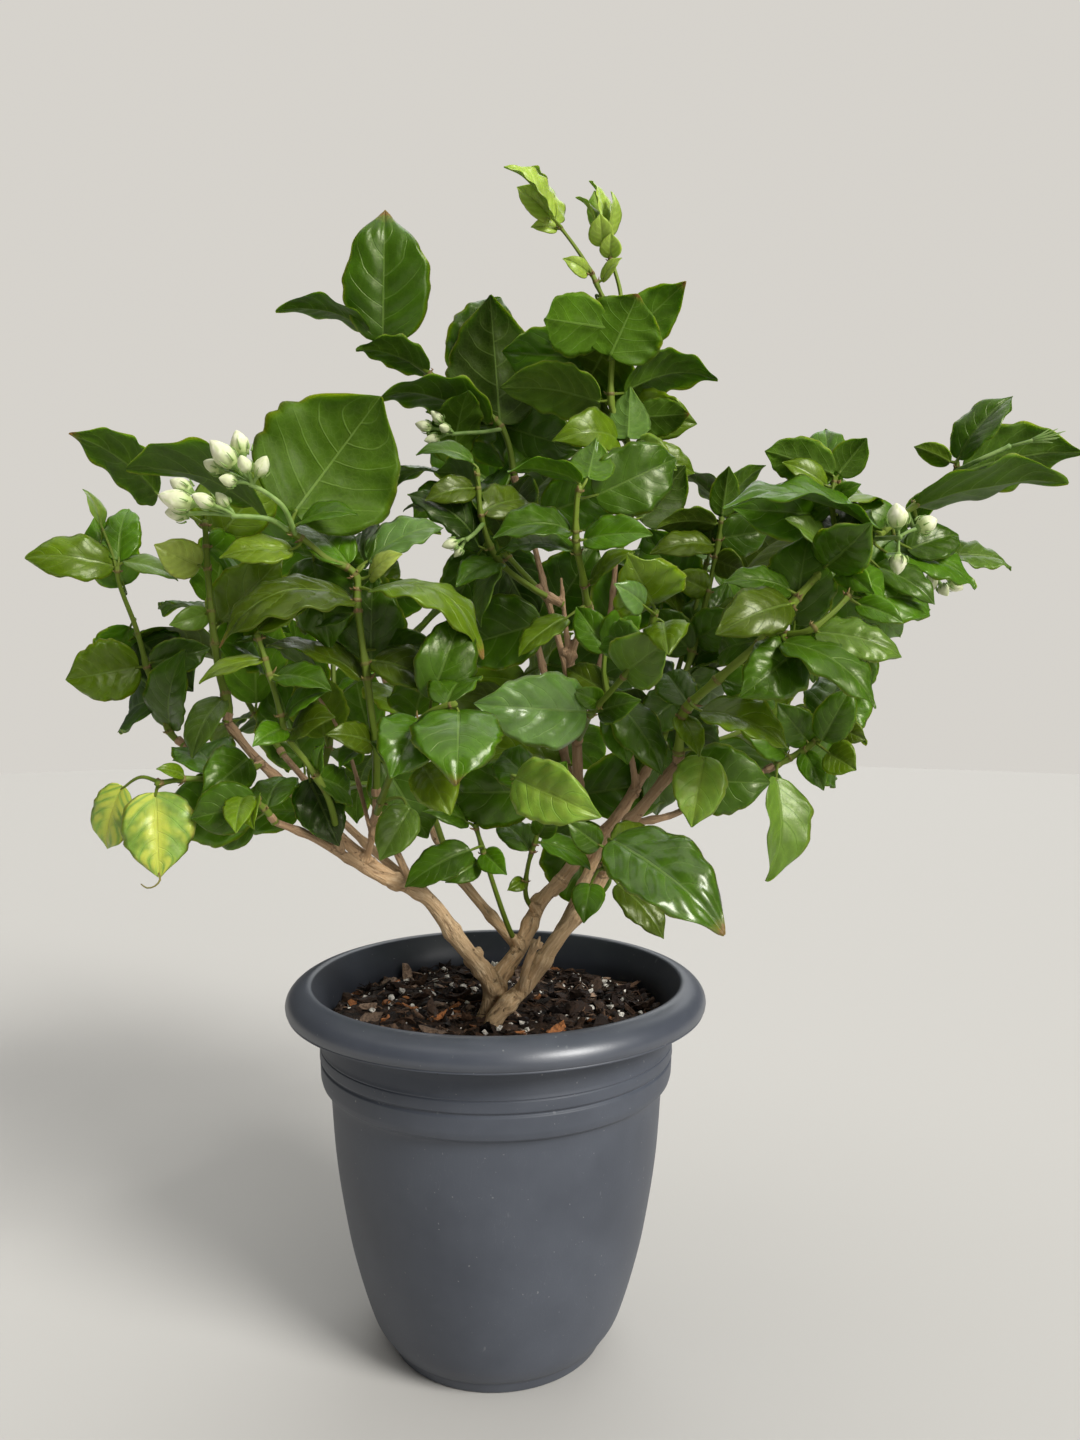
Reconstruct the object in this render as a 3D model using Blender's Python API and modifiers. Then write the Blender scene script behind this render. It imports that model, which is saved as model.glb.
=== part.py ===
"""Potted jasmine: a grey plastic pot of soil with a bush of woody branches, leafy shoots and buds.

Metres, +Z up, origin on the table at the pot's axis. The bush is described from one viewpoint:
a place is a picture point (u, v) and a depth y behind the pot's axis, in metres.
"""
import math

import bmesh
import bpy
from mathutils import Matrix, Vector, noise
from mathutils.bvhtree import BVHTree

# Viewpoint of the picture points
EYE = Vector((0.025, -0.6242, 0.3845))
FOCAL = 1088.0
PICTURE_MIDDLE = (540.0, 720.0)
PITCH = math.radians(2.55)

# Pot
POT_HEIGHT = 0.209
FLOOR = 0.003
TURN_STEPS = 24
DRAIN_COUNT = 4
DRAIN_CIRCLE = 0.040
DRAIN_RADIUS = 0.005

# Clearances: between two pieces, and the distance under which two points are one place
GAP = 0.0003
SAME_PLACE = 0.001
WELD = 0.00001

# Soil and root crown
SOIL_LEVEL = 0.1865
SOIL_DOME = 0.004
CROWN = Vector((-0.002, -0.022, SOIL_LEVEL))
CROWN_RADIUS = 0.0125
CROWN_DEPTH = 0.022

# Branches thicker than this have six sides, and the rest four
THICK_BRANCH = 0.0028

# Leaves
SLIM = 0.60
LEAST_LENGTH = 1.12
BLADE_THICKNESS = 0.0010
STALK_RADIUS = 0.0008
STATIONS_BROAD = (0.10, 0.36, 0.64, 0.87)
STATIONS_NARROW = (0.14, 0.48, 0.82)
SHORT_STALK = 0.009
FOOT_THICKENING = 1.8
ROOT_DEPTH = 0.0006
BROAD_LEAF = 0.047
CLEARANCE = 0.0006
TOP = 1
UNDER = -1

# Spurs that carry the shoots at a branch's end, beside a branch, and the flower clusters
SPUR_TIP = 0.005
SPUR_SIDE = 0.011
SPUR_CYME = 0.0045
SPUR_STEP = 0.003
SPUR_THICKER = 1.1
END_INSET = 0.0014

# Stem radii of the hidden shoots, and sizes of the flower clusters
HIDDEN_RADII = (0.0020, 0.0013)
CYME_RADIUS = 0.0013
CYME_SPUR_RADIUS = 0.0010
BUD_NECK = 0.0009
BUD_SIDES = 5


def seen(u, v, y):
    """World point at depth y that is seen at the picture point (u, v)."""
    across = (u - PICTURE_MIDDLE[0]) / FOCAL
    rise = (PICTURE_MIDDLE[1] - v) / FOCAL
    forward = math.cos(PITCH) + rise * math.sin(PITCH)
    upward = rise * math.cos(PITCH) - math.sin(PITCH)
    reach = (y - EYE.y) / forward
    return Vector((EYE.x + reach * across, y, EYE.z + reach * upward))


def picture_point(point):
    """Picture point at which a world point is seen."""
    offset = point - EYE
    depth = offset.y * math.cos(PITCH) - offset.z * math.sin(PITCH)
    rise = offset.y * math.sin(PITCH) + offset.z * math.cos(PITCH)
    u = PICTURE_MIDDLE[0] + FOCAL * offset.x / depth
    v = PICTURE_MIDDLE[1] - FOCAL * rise / depth
    return u, v


def path(*places):
    """World points of a stem from its picture points and depths."""
    return [seen(*place) for place in places]


def leaf(u0, v0, u1, v1, width, y=None, lean=None, side=TOP, arch=0.10, fold=0.14, wave=0.05):
    """A leaf seen from blade base (u0, v0) to tip (u1, v1), `width` picture points wide.

    y is the base's depth (the stem's where none is given) and lean is how far the tip comes
    towards the viewpoint, in metres. arch, fold and wave are parts of the length or width.
    """
    return dict(
        base=(u0, v0), tip=(u1, v1), width=width, y=y, lean=lean, side=side,
        arch=arch, fold=fold, wave=wave)


# Woody branches: points (u, v, depth) and the first and last radius
WOOD = (
    ("left", path((492, 1004, -0.022), (491, 985, -0.023), (482, 970, -0.025), (457, 938, -0.035),
                  (427, 898, -0.045), (396, 881, -0.050)), 0.0062, 0.0044),
    ("left_upper", path((398, 882, -0.050), (358, 853, -0.055), (310, 808, -0.062),
                        (255, 757, -0.068), (227, 722, -0.070)), 0.0040, 0.0026),
    ("left_lower", path((404, 885, -0.049), (379, 877, -0.060), (344, 856, -0.080),
                        (310, 836, -0.092), (275, 822, -0.100)), 0.0033, 0.0022),
    ("left_stub", path((414, 890, -0.046), (404, 868, -0.040), (397, 853, -0.036)),
     0.0030, 0.0026),
    ("left_twig", path((366, 861, -0.054), (373, 832, -0.066), (376, 797, -0.080)),
     0.0024, 0.0020),
    ("left_reach", path((258, 760, -0.068), (238, 768, -0.045), (214, 756, -0.018),
                        (184, 745, 0.000)), 0.0022, 0.0018),
    ("left_spike", path((372, 836, -0.065), (350, 755, -0.052), (334, 721, -0.048),
                        (319, 698, -0.046)), 0.0016, 0.0012),
    ("middle", path((494, 1000, -0.022), (500, 978, -0.020), (519, 949, -0.012),
                    (536, 911, 0.000), (546, 895, 0.004), (561, 881, 0.008), (581, 846, 0.015),
                    (578, 812, 0.020), (577, 747, 0.020), (572, 695, 0.015),
                    (570, 650, 0.010)), 0.0058, 0.0030),
    ("middle_bare", path((570, 655, 0.010), (566, 630, 0.008), (561, 578, 0.004)),
     0.0024, 0.0012),
    ("middle_fork", path((570, 660, 0.010), (577, 638, 0.005), (590, 612, -0.006)),
     0.0026, 0.0020),
    ("middle_back", path((572, 690, 0.016), (548, 600, 0.040), (530, 530, 0.052),
                         (516, 484, 0.055)), 0.0026, 0.0020),
    ("middle_rise", path((575, 735, 0.020), (604, 650, 0.040), (612, 600, 0.044),
                         (616, 560, 0.040)), 0.0026, 0.0020),
    ("right", path((490, 1012, -0.026), (510, 1001, -0.029), (527, 984, -0.029),
                   (560, 935, -0.030), (574, 919, -0.031), (600, 880, -0.035),
                   (626, 826, -0.040), (640, 810, -0.045), (678, 763, -0.050)), 0.0060, 0.0034),
    ("right_second", path((563, 878, 0.008), (586, 850, 0.002), (612, 822, -0.008),
                          (633, 791, -0.012), (660, 750, -0.014)), 0.0040, 0.0028),
    ("right_twig", path((636, 789, -0.012), (631, 757, -0.020), (619, 722, -0.028)),
     0.0024, 0.0018),
    ("right_low", path((628, 824, -0.040), (672, 815, -0.020), (700, 800, -0.005),
                       (735, 785, 0.002), (766, 770, 0.004)), 0.0026, 0.0019),
    ("broken_stub", path((520, 995, -0.030), (526, 968, -0.040), (536, 942, -0.046)),
     0.0030, 0.0026),
    ("back_left", (seen(519, 949, -0.012), Vector((-0.030, 0.024, 0.272)),
                   Vector((-0.058, 0.058, 0.330)), Vector((-0.078, 0.088, 0.384))),
     0.0040, 0.0024),
    ("back_middle", (seen(578, 812, 0.020), Vector((0.036, 0.055, 0.350)),
                     Vector((0.022, 0.090, 0.408)), Vector((0.014, 0.110, 0.452))),
     0.0036, 0.0022),
    ("back_right", (seen(560, 935, -0.030), Vector((0.066, 0.016, 0.290)),
                    Vector((0.104, 0.062, 0.336)), Vector((0.130, 0.092, 0.380))),
     0.0040, 0.0024),
    ("side_left", (seen(427, 898, -0.045), Vector((-0.090, -0.002, 0.300)),
                   Vector((-0.130, 0.032, 0.334))), 0.0032, 0.0022),
)

# Knots on the wood: picture point, depth and radius
KNOTS = (
    (493, 983, -0.023, 0.0090), (396, 881, -0.050, 0.0064), (581, 846, 0.015, 0.0066),
)

# Leafy shoots seen from the viewpoint: what carries each one, its stems and its leaves
SHOOTS = (
    dict(
        name="shoot_left_far", on="wood", radius=(0.0020, 0.0012),
        stem=path((184, 745, 0.000), (172, 735, 0.000), (164, 718, 0.000), (147, 667, 0.000),
                  (136, 628, -0.005), (119, 583, -0.010), (117, 567, -0.012)),
        leaves=(
            leaf(113, 566, 24, 557, 45, lean=0.012, wave=0.12, arch=0.16),
            leaf(119, 560, 128, 507, 35, lean=-0.018, wave=0.12),
            leaf(101, 524, 84, 488, 14, wave=0.10),
            leaf(124, 561, 179, 580, 20, lean=-0.010),
            leaf(139, 667, 65, 680, 62, lean=0.012, arch=0.06),
            leaf(151, 663, 210, 648, 38, lean=-0.012),
            leaf(170, 728, 183, 650, 42, lean=0.016),
            leaf(160, 700, 128, 722, 36, lean=-0.046),
        )),
    dict(
        name="shoot_left_tall", on="wood", radius=(0.0021, 0.0014),
        stem=path((227, 722, -0.070), (229, 708, -0.070), (220, 676, -0.066), (212, 621, -0.060),
                  (207, 560, -0.055), (205, 521, -0.050)),
        leaves=(
            leaf(158, 494, 72, 432, 52, y=-0.042, lean=-0.006, side=UNDER, arch=0.12),
            leaf(200, 566, 155, 545, 40, lean=0.020),
            leaf(208, 613, 170, 625, 25, lean=0.014),
            leaf(222, 698, 190, 757, 35, lean=0.016),
            leaf(216, 640, 262, 668, 34, lean=-0.044),
            leaf(207, 545, 246, 582, 36, lean=-0.046),
        )),
    dict(
        name="shoot_left_front", on="wood", radius=(0.0021, 0.0014),
        stem=path((376, 797, -0.080), (376, 743, -0.090), (372, 719, -0.092), (367, 678, -0.094),
                  (362, 643, -0.095), (357, 600, -0.095), (355, 574, -0.095), (326, 558, -0.100),
                  (306, 541, -0.102), (287, 530, -0.105)),
        leaves=(
            leaf(294, 513, 380, 397, 150, lean=-0.008, side=UNDER, arch=0.10, fold=0.04,
                 wave=0.03),
            leaf(300, 522, 357, 512, 20, lean=0.010),
            leaf(348, 564, 296, 523, 45, lean=-0.024),
            leaf(368, 560, 443, 525, 35, lean=-0.010),
            leaf(366, 563, 367, 530, 35, lean=-0.036),
            leaf(369, 577, 401, 553, 20, lean=0.012),
            leaf(353, 600, 217, 643, 45, lean=0.022, arch=0.24, fold=0.05),
            leaf(352, 614, 312, 623, 28, lean=-0.022),
            leaf(361, 680, 266, 644, 25, lean=-0.006, arch=0.12),
            leaf(374, 660, 453, 698, 45, lean=0.004, arch=0.14),
            leaf(372, 743, 328, 733, 28, lean=0.020),
            leaf(366, 744, 338, 767, 18, lean=0.016),
            leaf(268, 519, 129, 463, 35, y=-0.098, lean=-0.024, side=UNDER, arch=0.10),
            leaf(292, 551, 219, 556, 30, lean=0.012, wave=0.08),
            leaf(372, 590, 486, 655, 30, y=-0.098, lean=0.006, arch=0.26, fold=0.05),
        )),
    dict(
        name="shoot_left_inner", on="wood", radius=(0.0018, 0.0012),
        stem=path((341, 854, -0.081), (329, 800, -0.103), (310, 767, -0.108), (285, 734, -0.113),
                  (281, 715, -0.115), (268, 669, -0.117), (257, 634, -0.118)),
        leaves=(
            leaf(258, 629, 310, 590, 25, lean=0.006),
            leaf(262, 660, 198, 682, 18, lean=0.010),
            leaf(276, 676, 331, 688, 25, lean=0.012),
            leaf(286, 715, 327, 689, 22, lean=0.016),
            leaf(292, 730, 334, 716, 40, lean=0.024),
            leaf(284, 728, 253, 745, 26, lean=0.020),
            leaf(318, 772, 322, 745, 15, lean=0.008),
            leaf(318, 778, 352, 800, 28, lean=-0.030),
        )),
    dict(
        name="shoot_left_drop", on="wood", radius=(0.0018, 0.0012),
        stem=path((262, 763, -0.067), (248, 770, -0.082), (215, 778, -0.092), (183, 779, -0.100),
                  (156, 784, -0.106)),
        leaves=(
            leaf(155, 793, 159, 877, 71, lean=0.014, arch=0.08, fold=0.06),
            leaf(122, 786, 105, 850, 40, y=-0.098, lean=-0.012),
            leaf(248, 758, 203, 795, 50, y=-0.088, lean=0.026),
            leaf(245, 776, 245, 797, 15, lean=0.010),
            leaf(184, 775, 157, 768, 15, lean=0.010),
            leaf(215, 774, 190, 748, 34, lean=-0.044),
        )),
    dict(
        name="shoot_left_low", on="wood", radius=(0.0017, 0.0012),
        stem=path((275, 822, -0.100), (264, 808, -0.106), (250, 798, -0.112)),
        leaves=(
            leaf(256, 803, 190, 819, 54, lean=0.004, arch=0.08),
            leaf(244, 796, 235, 831, 30, lean=0.022),
            leaf(256, 797, 252, 828, 18, lean=0.018),
            leaf(266, 808, 290, 778, 32, lean=-0.034),
        )),
    dict(
        name="shoot_front_left", on="wood", radius=(0.0019, 0.0013),
        stem=path((374, 822, -0.070), (388, 782, -0.105), (408, 738, -0.125), (430, 712, -0.134),
                  (456, 704, -0.138)),
        leaves=(
            leaf(418, 719, 392, 776, 68, y=-0.132, lean=0.026, arch=0.12),
            leaf(424, 765, 450, 814, 50, y=-0.124, lean=0.018),
            leaf(459, 710, 457, 783, 90, lean=0.034, arch=0.12, fold=0.10),
            leaf(410, 808, 380, 860, 42, y=-0.104, lean=0.012),
            leaf(400, 752, 372, 742, 34, lean=0.020),
            leaf(446, 704, 470, 684, 34, lean=-0.040),
        )),
    dict(
        name="shoot_top_left", on="wood", radius=(0.0020, 0.0013),
        stem=path((516, 484, 0.055), (503, 430, 0.048), (474, 405, 0.046), (433, 376, 0.045),
                  (400, 354, 0.048), (370, 336, 0.050)),
        leaves=(
            leaf(383, 341, 385, 208, 85, lean=0.004, arch=0.06, fold=0.10, wave=0.08),
            leaf(370, 334, 276, 308, 25, lean=0.008, arch=0.14, side=UNDER),
            leaf(428, 372, 356, 347, 30, lean=0.014, side=UNDER),
            leaf(488, 424, 378, 395, 32, lean=0.030, side=UNDER, arch=0.14),
            leaf(500, 424, 490, 297, 95, lean=-0.010, side=UNDER, arch=0.08),
            leaf(499, 368, 433, 357, 25, y=0.034, lean=0.006, arch=0.26),
            leaf(496, 432, 428, 410, 40, lean=-0.020, side=UNDER),
            leaf(512, 470, 556, 446, 40, lean=-0.040),
        )),
    dict(
        name="shoot_middle_left", on="wood", radius=(0.0020, 0.0012),
        stem=path((562, 604, 0.006), (532, 588, -0.004), (498, 560, -0.014), (482, 520, -0.020),
                  (477, 470, -0.022)),
        leaves=(
            leaf(473, 462, 416, 452, 16, lean=0.006, arch=0.14),
            leaf(474, 488, 425, 499, 28, lean=0.012),
            leaf(480, 548, 408, 491, 34, lean=0.018, arch=0.14, wave=0.10),
            leaf(500, 562, 456, 584, 26, lean=0.022),
            leaf(496, 566, 478, 628, 26, lean=0.024),
            leaf(482, 512, 530, 500, 34, lean=-0.030),
            leaf(480, 492, 440, 470, 36, lean=-0.044, side=UNDER),
        )),
    dict(
        name="shoot_centre", on="wood", radius=(0.0021, 0.0015),
        stem=path((590, 612, -0.006), (586, 598, -0.016), (583, 578, -0.026), (576, 540, -0.040),
                  (577, 499, -0.046), (580, 486, -0.047)),
        leaves=(
            leaf(588, 478, 596, 440, 48, lean=-0.024, side=UNDER),
            leaf(580, 482, 507, 469, 22, lean=0.014, side=UNDER),
            leaf(571, 531, 493, 535, 32, lean=0.012, arch=0.16),
            leaf(572, 550, 495, 552, 22, lean=-0.014),
            leaf(584, 540, 652, 533, 35, lean=0.014),
            leaf(590, 581, 633, 550, 20, lean=0.016),
            leaf(566, 618, 518, 655, 27, y=-0.020, lean=0.012),
        )),
    dict(
        name="shoot_crest", on="wood", radius=(0.0023, 0.0015),
        stem=path((616, 560, 0.040), (628, 523, 0.032), (633, 464, 0.024), (622, 430, 0.018),
                  (612, 408, 0.014), (611, 380, 0.012), (614, 341, 0.010), (617, 314, 0.010)),
        twigs=(
            path((617, 316, 0.010), (603, 297, 0.008), (590, 270, 0.006), (576, 248, 0.004),
                 (558, 224, 0.002)),
            path((617, 318, 0.010), (621, 298, 0.014), (614, 268, 0.018), (607, 250, 0.018),
                 (603, 233, 0.018)),
        ),
        leaves=(
            leaf(620, 344, 686, 282, 52, y=0.006, lean=0.004, side=UNDER, arch=0.16),
            leaf(607, 346, 574, 407, 100, y=0.016, lean=-0.028, side=UNDER, arch=0.06),
            leaf(606, 328, 542, 318, 60, y=0.000, lean=0.034, side=UNDER, arch=0.10),
            leaf(624, 393, 717, 377, 38, lean=-0.010, arch=0.16, side=UNDER),
            leaf(634, 418, 690, 414, 38, lean=0.010, side=UNDER),
            leaf(628, 438, 630, 389, 45, y=-0.002, lean=-0.022, side=UNDER),
            leaf(618, 440, 553, 440, 40, y=0.002, lean=0.022, arch=0.20),
            leaf(634, 446, 677, 470, 36, y=0.006, lean=0.010, arch=0.30),
            leaf(600, 402, 500, 386, 55, lean=-0.012, side=UNDER),
            leaf(640, 520, 685, 466, 65, lean=-0.010, side=UNDER),
            leaf(612, 418, 560, 412, 34, lean=-0.036, side=UNDER),
            leaf(588, 274, 563, 258, 17, lean=0.008, arch=0.18),
            leaf(602, 281, 621, 257, 12, lean=0.008),
            leaf(557, 229, 531, 226, 13, lean=0.004),
            leaf(554, 220, 517, 186, 26, lean=0.004, fold=0.30),
            leaf(553, 218, 506, 165, 12, y=-0.004, lean=0.006, fold=0.30),
            leaf(556, 222, 523, 166, 12, y=0.008, lean=-0.006, fold=0.30),
            leaf(610, 258, 611, 233, 22, lean=0.008),
            leaf(603, 246, 600, 214, 25, lean=0.010),
            leaf(602, 232, 592, 179, 13, lean=-0.004, fold=0.35),
            leaf(600, 236, 577, 195, 13, lean=0.002, fold=0.35),
            leaf(606, 236, 613, 191, 13, lean=0.002, fold=0.35),
        )),
    dict(
        name="shoot_front_middle", on="wood", radius=(0.0020, 0.0013),
        stem=path((577, 742, 0.020), (584, 728, -0.020), (592, 712, -0.060), (612, 690, -0.086),
                  (636, 660, -0.102), (650, 628, -0.110), (656, 610, -0.112)),
        leaves=(
            leaf(586, 712, 475, 704, 75, y=-0.072, lean=0.026, arch=0.12),
            leaf(600, 703, 573, 690, 25, lean=0.014),
            leaf(598, 712, 640, 700, 32, lean=0.018),
            leaf(624, 673, 668, 640, 60, lean=0.026),
            leaf(646, 658, 640, 692, 24, lean=0.014),
            leaf(654, 605, 628, 556, 75, lean=0.030, arch=0.14),
            leaf(664, 622, 668, 652, 46, lean=0.030),
            leaf(644, 606, 616, 584, 30, y=-0.126, lean=0.018),
            leaf(640, 652, 606, 634, 44, lean=-0.030),
        )),
    dict(
        name="shoot_front_low", on="wood", radius=(0.0017, 0.0012),
        stem=path((578, 808, 0.020), (560, 797, -0.030), (536, 786, -0.074), (512, 776, -0.098)),
        leaves=(
            leaf(516, 778, 600, 817, 62, y=-0.108, lean=0.024, arch=0.14),
            leaf(532, 784, 500, 752, 44, lean=-0.030),
            leaf(548, 790, 566, 762, 36, lean=0.010),
        )),
    dict(
        name="shoot_low_left", on="wood", radius=(0.0016, 0.0012),
        stem=path((519, 949, -0.012), (508, 926, -0.022), (492, 880, -0.036), (475, 824, -0.048)),
        leaves=(
            leaf(484, 852, 506, 874, 28, lean=0.014),
            leaf(478, 862, 446, 882, 26, lean=0.014),
            leaf(470, 850, 404, 886, 40, y=-0.060, lean=0.012),
            leaf(468, 822, 424, 810, 24, lean=0.016),
            leaf(478, 824, 500, 790, 36, lean=-0.022),
        )),
    dict(
        name="shoot_low_middle", on="wood", radius=(0.0016, 0.0011),
        stem=path((536, 913, -0.001), (526, 896, -0.012), (528, 866, -0.024), (537, 836, -0.030)),
        leaves=(
            leaf(524, 880, 508, 890, 16, lean=0.008),
            leaf(541, 842, 592, 868, 22, lean=-0.004),
            leaf(538, 836, 556, 804, 26, lean=0.010),
            leaf(530, 850, 500, 822, 30, lean=-0.026),
        )),
    dict(
        name="shoot_low_front", on="wood", radius=(0.0018, 0.0013),
        stem=path((604, 872, -0.036), (608, 856, -0.070), (611, 843, -0.096)),
        leaves=(
            leaf(613, 840, 726, 932, 80, y=-0.104, lean=0.034, arch=0.12, fold=0.10),
            leaf(618, 884, 665, 938, 36, y=-0.066, lean=0.012),
            leaf(590, 884, 584, 922, 34, y=-0.062, lean=0.018),
            leaf(600, 846, 568, 822, 30, y=-0.086, lean=0.010),
            leaf(616, 846, 650, 826, 34, y=-0.080, lean=-0.024),
        )),
    dict(
        name="shoot_right", on="wood", radius=(0.0025, 0.0018),
        stem=path((678, 763, -0.050), (680, 735, -0.056), (684, 712, -0.062), (717, 680, -0.072),
                  (767, 636, -0.082), (791, 605, -0.084), (816, 577, -0.080)),
        leaves=(
            leaf(790, 604, 716, 633, 52, y=-0.094, lean=0.018),
            leaf(798, 650, 740, 697, 65, y=-0.092, lean=0.018),
            leaf(702, 712, 791, 747, 38, y=-0.082, lean=0.014, arch=0.14),
            leaf(680, 716, 700, 756, 26, lean=0.014),
            leaf(704, 757, 692, 827, 54, y=-0.058, lean=0.012),
            leaf(790, 590, 724, 580, 26, lean=0.008),
            leaf(758, 640, 716, 656, 40, lean=-0.034),
            leaf(722, 680, 776, 706, 40, lean=-0.020),
            leaf(688, 704, 664, 672, 40, lean=-0.030),
        )),
    dict(
        name="shoot_right_under", on="shoot_right", radius=(0.0018, 0.0013),
        stem=path((767, 636, -0.082), (796, 634, -0.094), (814, 628, -0.098), (848, 596, -0.092),
                  (853, 579, -0.088)),
        leaves=(
            leaf(784, 642, 878, 706, 40, y=-0.100, lean=0.020, arch=0.14),
            leaf(816, 632, 903, 656, 42, lean=0.004),
            leaf(857, 604, 903, 622, 26, lean=0.004),
            leaf(852, 578, 886, 596, 28, lean=-0.020),
        )),
    dict(
        name="shoot_right_outer", on="shoot_right", radius=(0.0018, 0.0014),
        stem=path((816, 577, -0.080), (836, 558, -0.076), (862, 545, -0.066), (884, 532, -0.056)),
        leaves=(
            leaf(876, 530, 724, 502, 27, y=-0.064, lean=0.014, arch=0.12, side=UNDER, wave=0.08),
            leaf(828, 560, 787, 517, 17, lean=0.012, fold=0.30),
            leaf(826, 566, 870, 525, 58, y=-0.084, lean=0.012),
            leaf(836, 562, 872, 592, 30, lean=0.010),
            leaf(862, 548, 820, 510, 40, lean=-0.040),
            leaf(884, 552, 978, 584, 30, y=-0.046, lean=-0.004),
            leaf(876, 566, 936, 603, 32, y=-0.058, lean=0.012),
        )),
    dict(
        name="shoot_far_right", on="shoot_right_outer", radius=(0.0016, 0.0011),
        stem=path((884, 532, -0.056), (900, 516, -0.050), (913, 507, -0.046), (941, 485, -0.040),
                  (955, 473, -0.038), (957, 462, -0.038)),
        leaves=(
            leaf(958, 459, 1012, 394, 38, lean=0.004, fold=0.30),
            leaf(950, 462, 914, 446, 22, lean=-0.004, side=UNDER),
            leaf(963, 473, 1077, 432, 62, lean=-0.006, side=UNDER, wave=0.08),
            leaf(916, 505, 1068, 478, 30, lean=0.010, wave=0.10, side=UNDER, arch=0.06),
            leaf(908, 550, 960, 535, 45, y=-0.052, lean=-0.010),
            leaf(950, 556, 1013, 568, 20, y=-0.030, lean=-0.010, wave=0.10),
        )),
    dict(
        name="shoot_right_top", on="shoot_right_outer", radius=(0.0015, 0.0012),
        stem=path((838, 557, -0.075), (836, 538, -0.058), (832, 500, -0.046), (835, 478, -0.042)),
        leaves=(
            leaf(833, 474, 764, 450, 46, lean=0.010, side=UNDER, wave=0.10),
            leaf(838, 474, 867, 438, 36, lean=0.006, side=UNDER),
            leaf(826, 486, 784, 462, 18, lean=-0.010),
            leaf(834, 496, 861, 484, 17, lean=0.008),
            leaf(834, 506, 800, 520, 36, lean=-0.036),
            leaf(836, 500, 872, 506, 34, lean=-0.036),
        )),
    dict(
        name="shoot_right_low", on="wood", radius=(0.0018, 0.0012),
        stem=path((766, 770, 0.004), (790, 758, 0.004), (812, 744, 0.000), (832, 722, -0.006),
                  (846, 690, -0.010)),
        leaves=(
            leaf(776, 778, 770, 882, 34, y=-0.006, lean=0.014, fold=0.28),
            leaf(828, 752, 856, 770, 38, y=-0.010, lean=0.012),
            leaf(804, 752, 824, 790, 26, lean=0.012),
            leaf(822, 740, 852, 686, 40, y=-0.018, lean=0.010),
            leaf(836, 726, 866, 740, 26, lean=0.010),
            leaf(848, 688, 872, 642, 40, lean=0.006),
            leaf(808, 742, 778, 704, 40, lean=0.012),
            leaf(786, 754, 736, 716, 36, lean=0.008),
            leaf(826, 716, 858, 664, 44, lean=-0.040),
            leaf(800, 748, 838, 776, 44, lean=-0.034),
        )),
    dict(
        name="shoot_right_inner", on="wood", radius=(0.0022, 0.0014),
        stem=path((660, 750, -0.014), (668, 722, -0.006), (690, 660, 0.010), (706, 600, 0.018),
                  (718, 545, 0.022), (722, 518, 0.022)),
        leaves=(
            leaf(722, 516, 729, 466, 30, lean=0.004, side=UNDER),
            leaf(726, 504, 764, 464, 22, y=0.034, lean=-0.004, side=UNDER),
            leaf(720, 538, 770, 530, 44, lean=-0.006),
            leaf(708, 590, 674, 574, 30, lean=0.014),
            leaf(716, 560, 746, 572, 30, lean=0.014),
            leaf(712, 545, 650, 552, 30, lean=0.010),
            leaf(716, 524, 656, 526, 26, lean=0.004, side=UNDER),
            leaf(696, 640, 738, 612, 46, lean=0.020),
            leaf(690, 650, 652, 610, 44, lean=-0.010),
            leaf(676, 700, 640, 730, 46, lean=0.014),
            leaf(674, 712, 714, 760, 50, lean=-0.012),
            leaf(684, 676, 724, 700, 46, lean=-0.030),
        )),
    dict(
        name="shoot_middle_low", on="wood", radius=(0.0018, 0.0012),
        stem=path((619, 722, -0.028), (612, 706, -0.036), (604, 676, -0.040), (606, 644, -0.040)),
        leaves=(
            leaf(614, 708, 628, 764, 40, lean=0.012),
            leaf(616, 700, 662, 772, 44, lean=0.004),
            leaf(606, 690, 566, 668, 34, lean=-0.010),
            leaf(608, 650, 576, 606, 36, lean=-0.006),
            leaf(606, 646, 640, 600, 36, lean=0.006),
        )),
)

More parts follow.
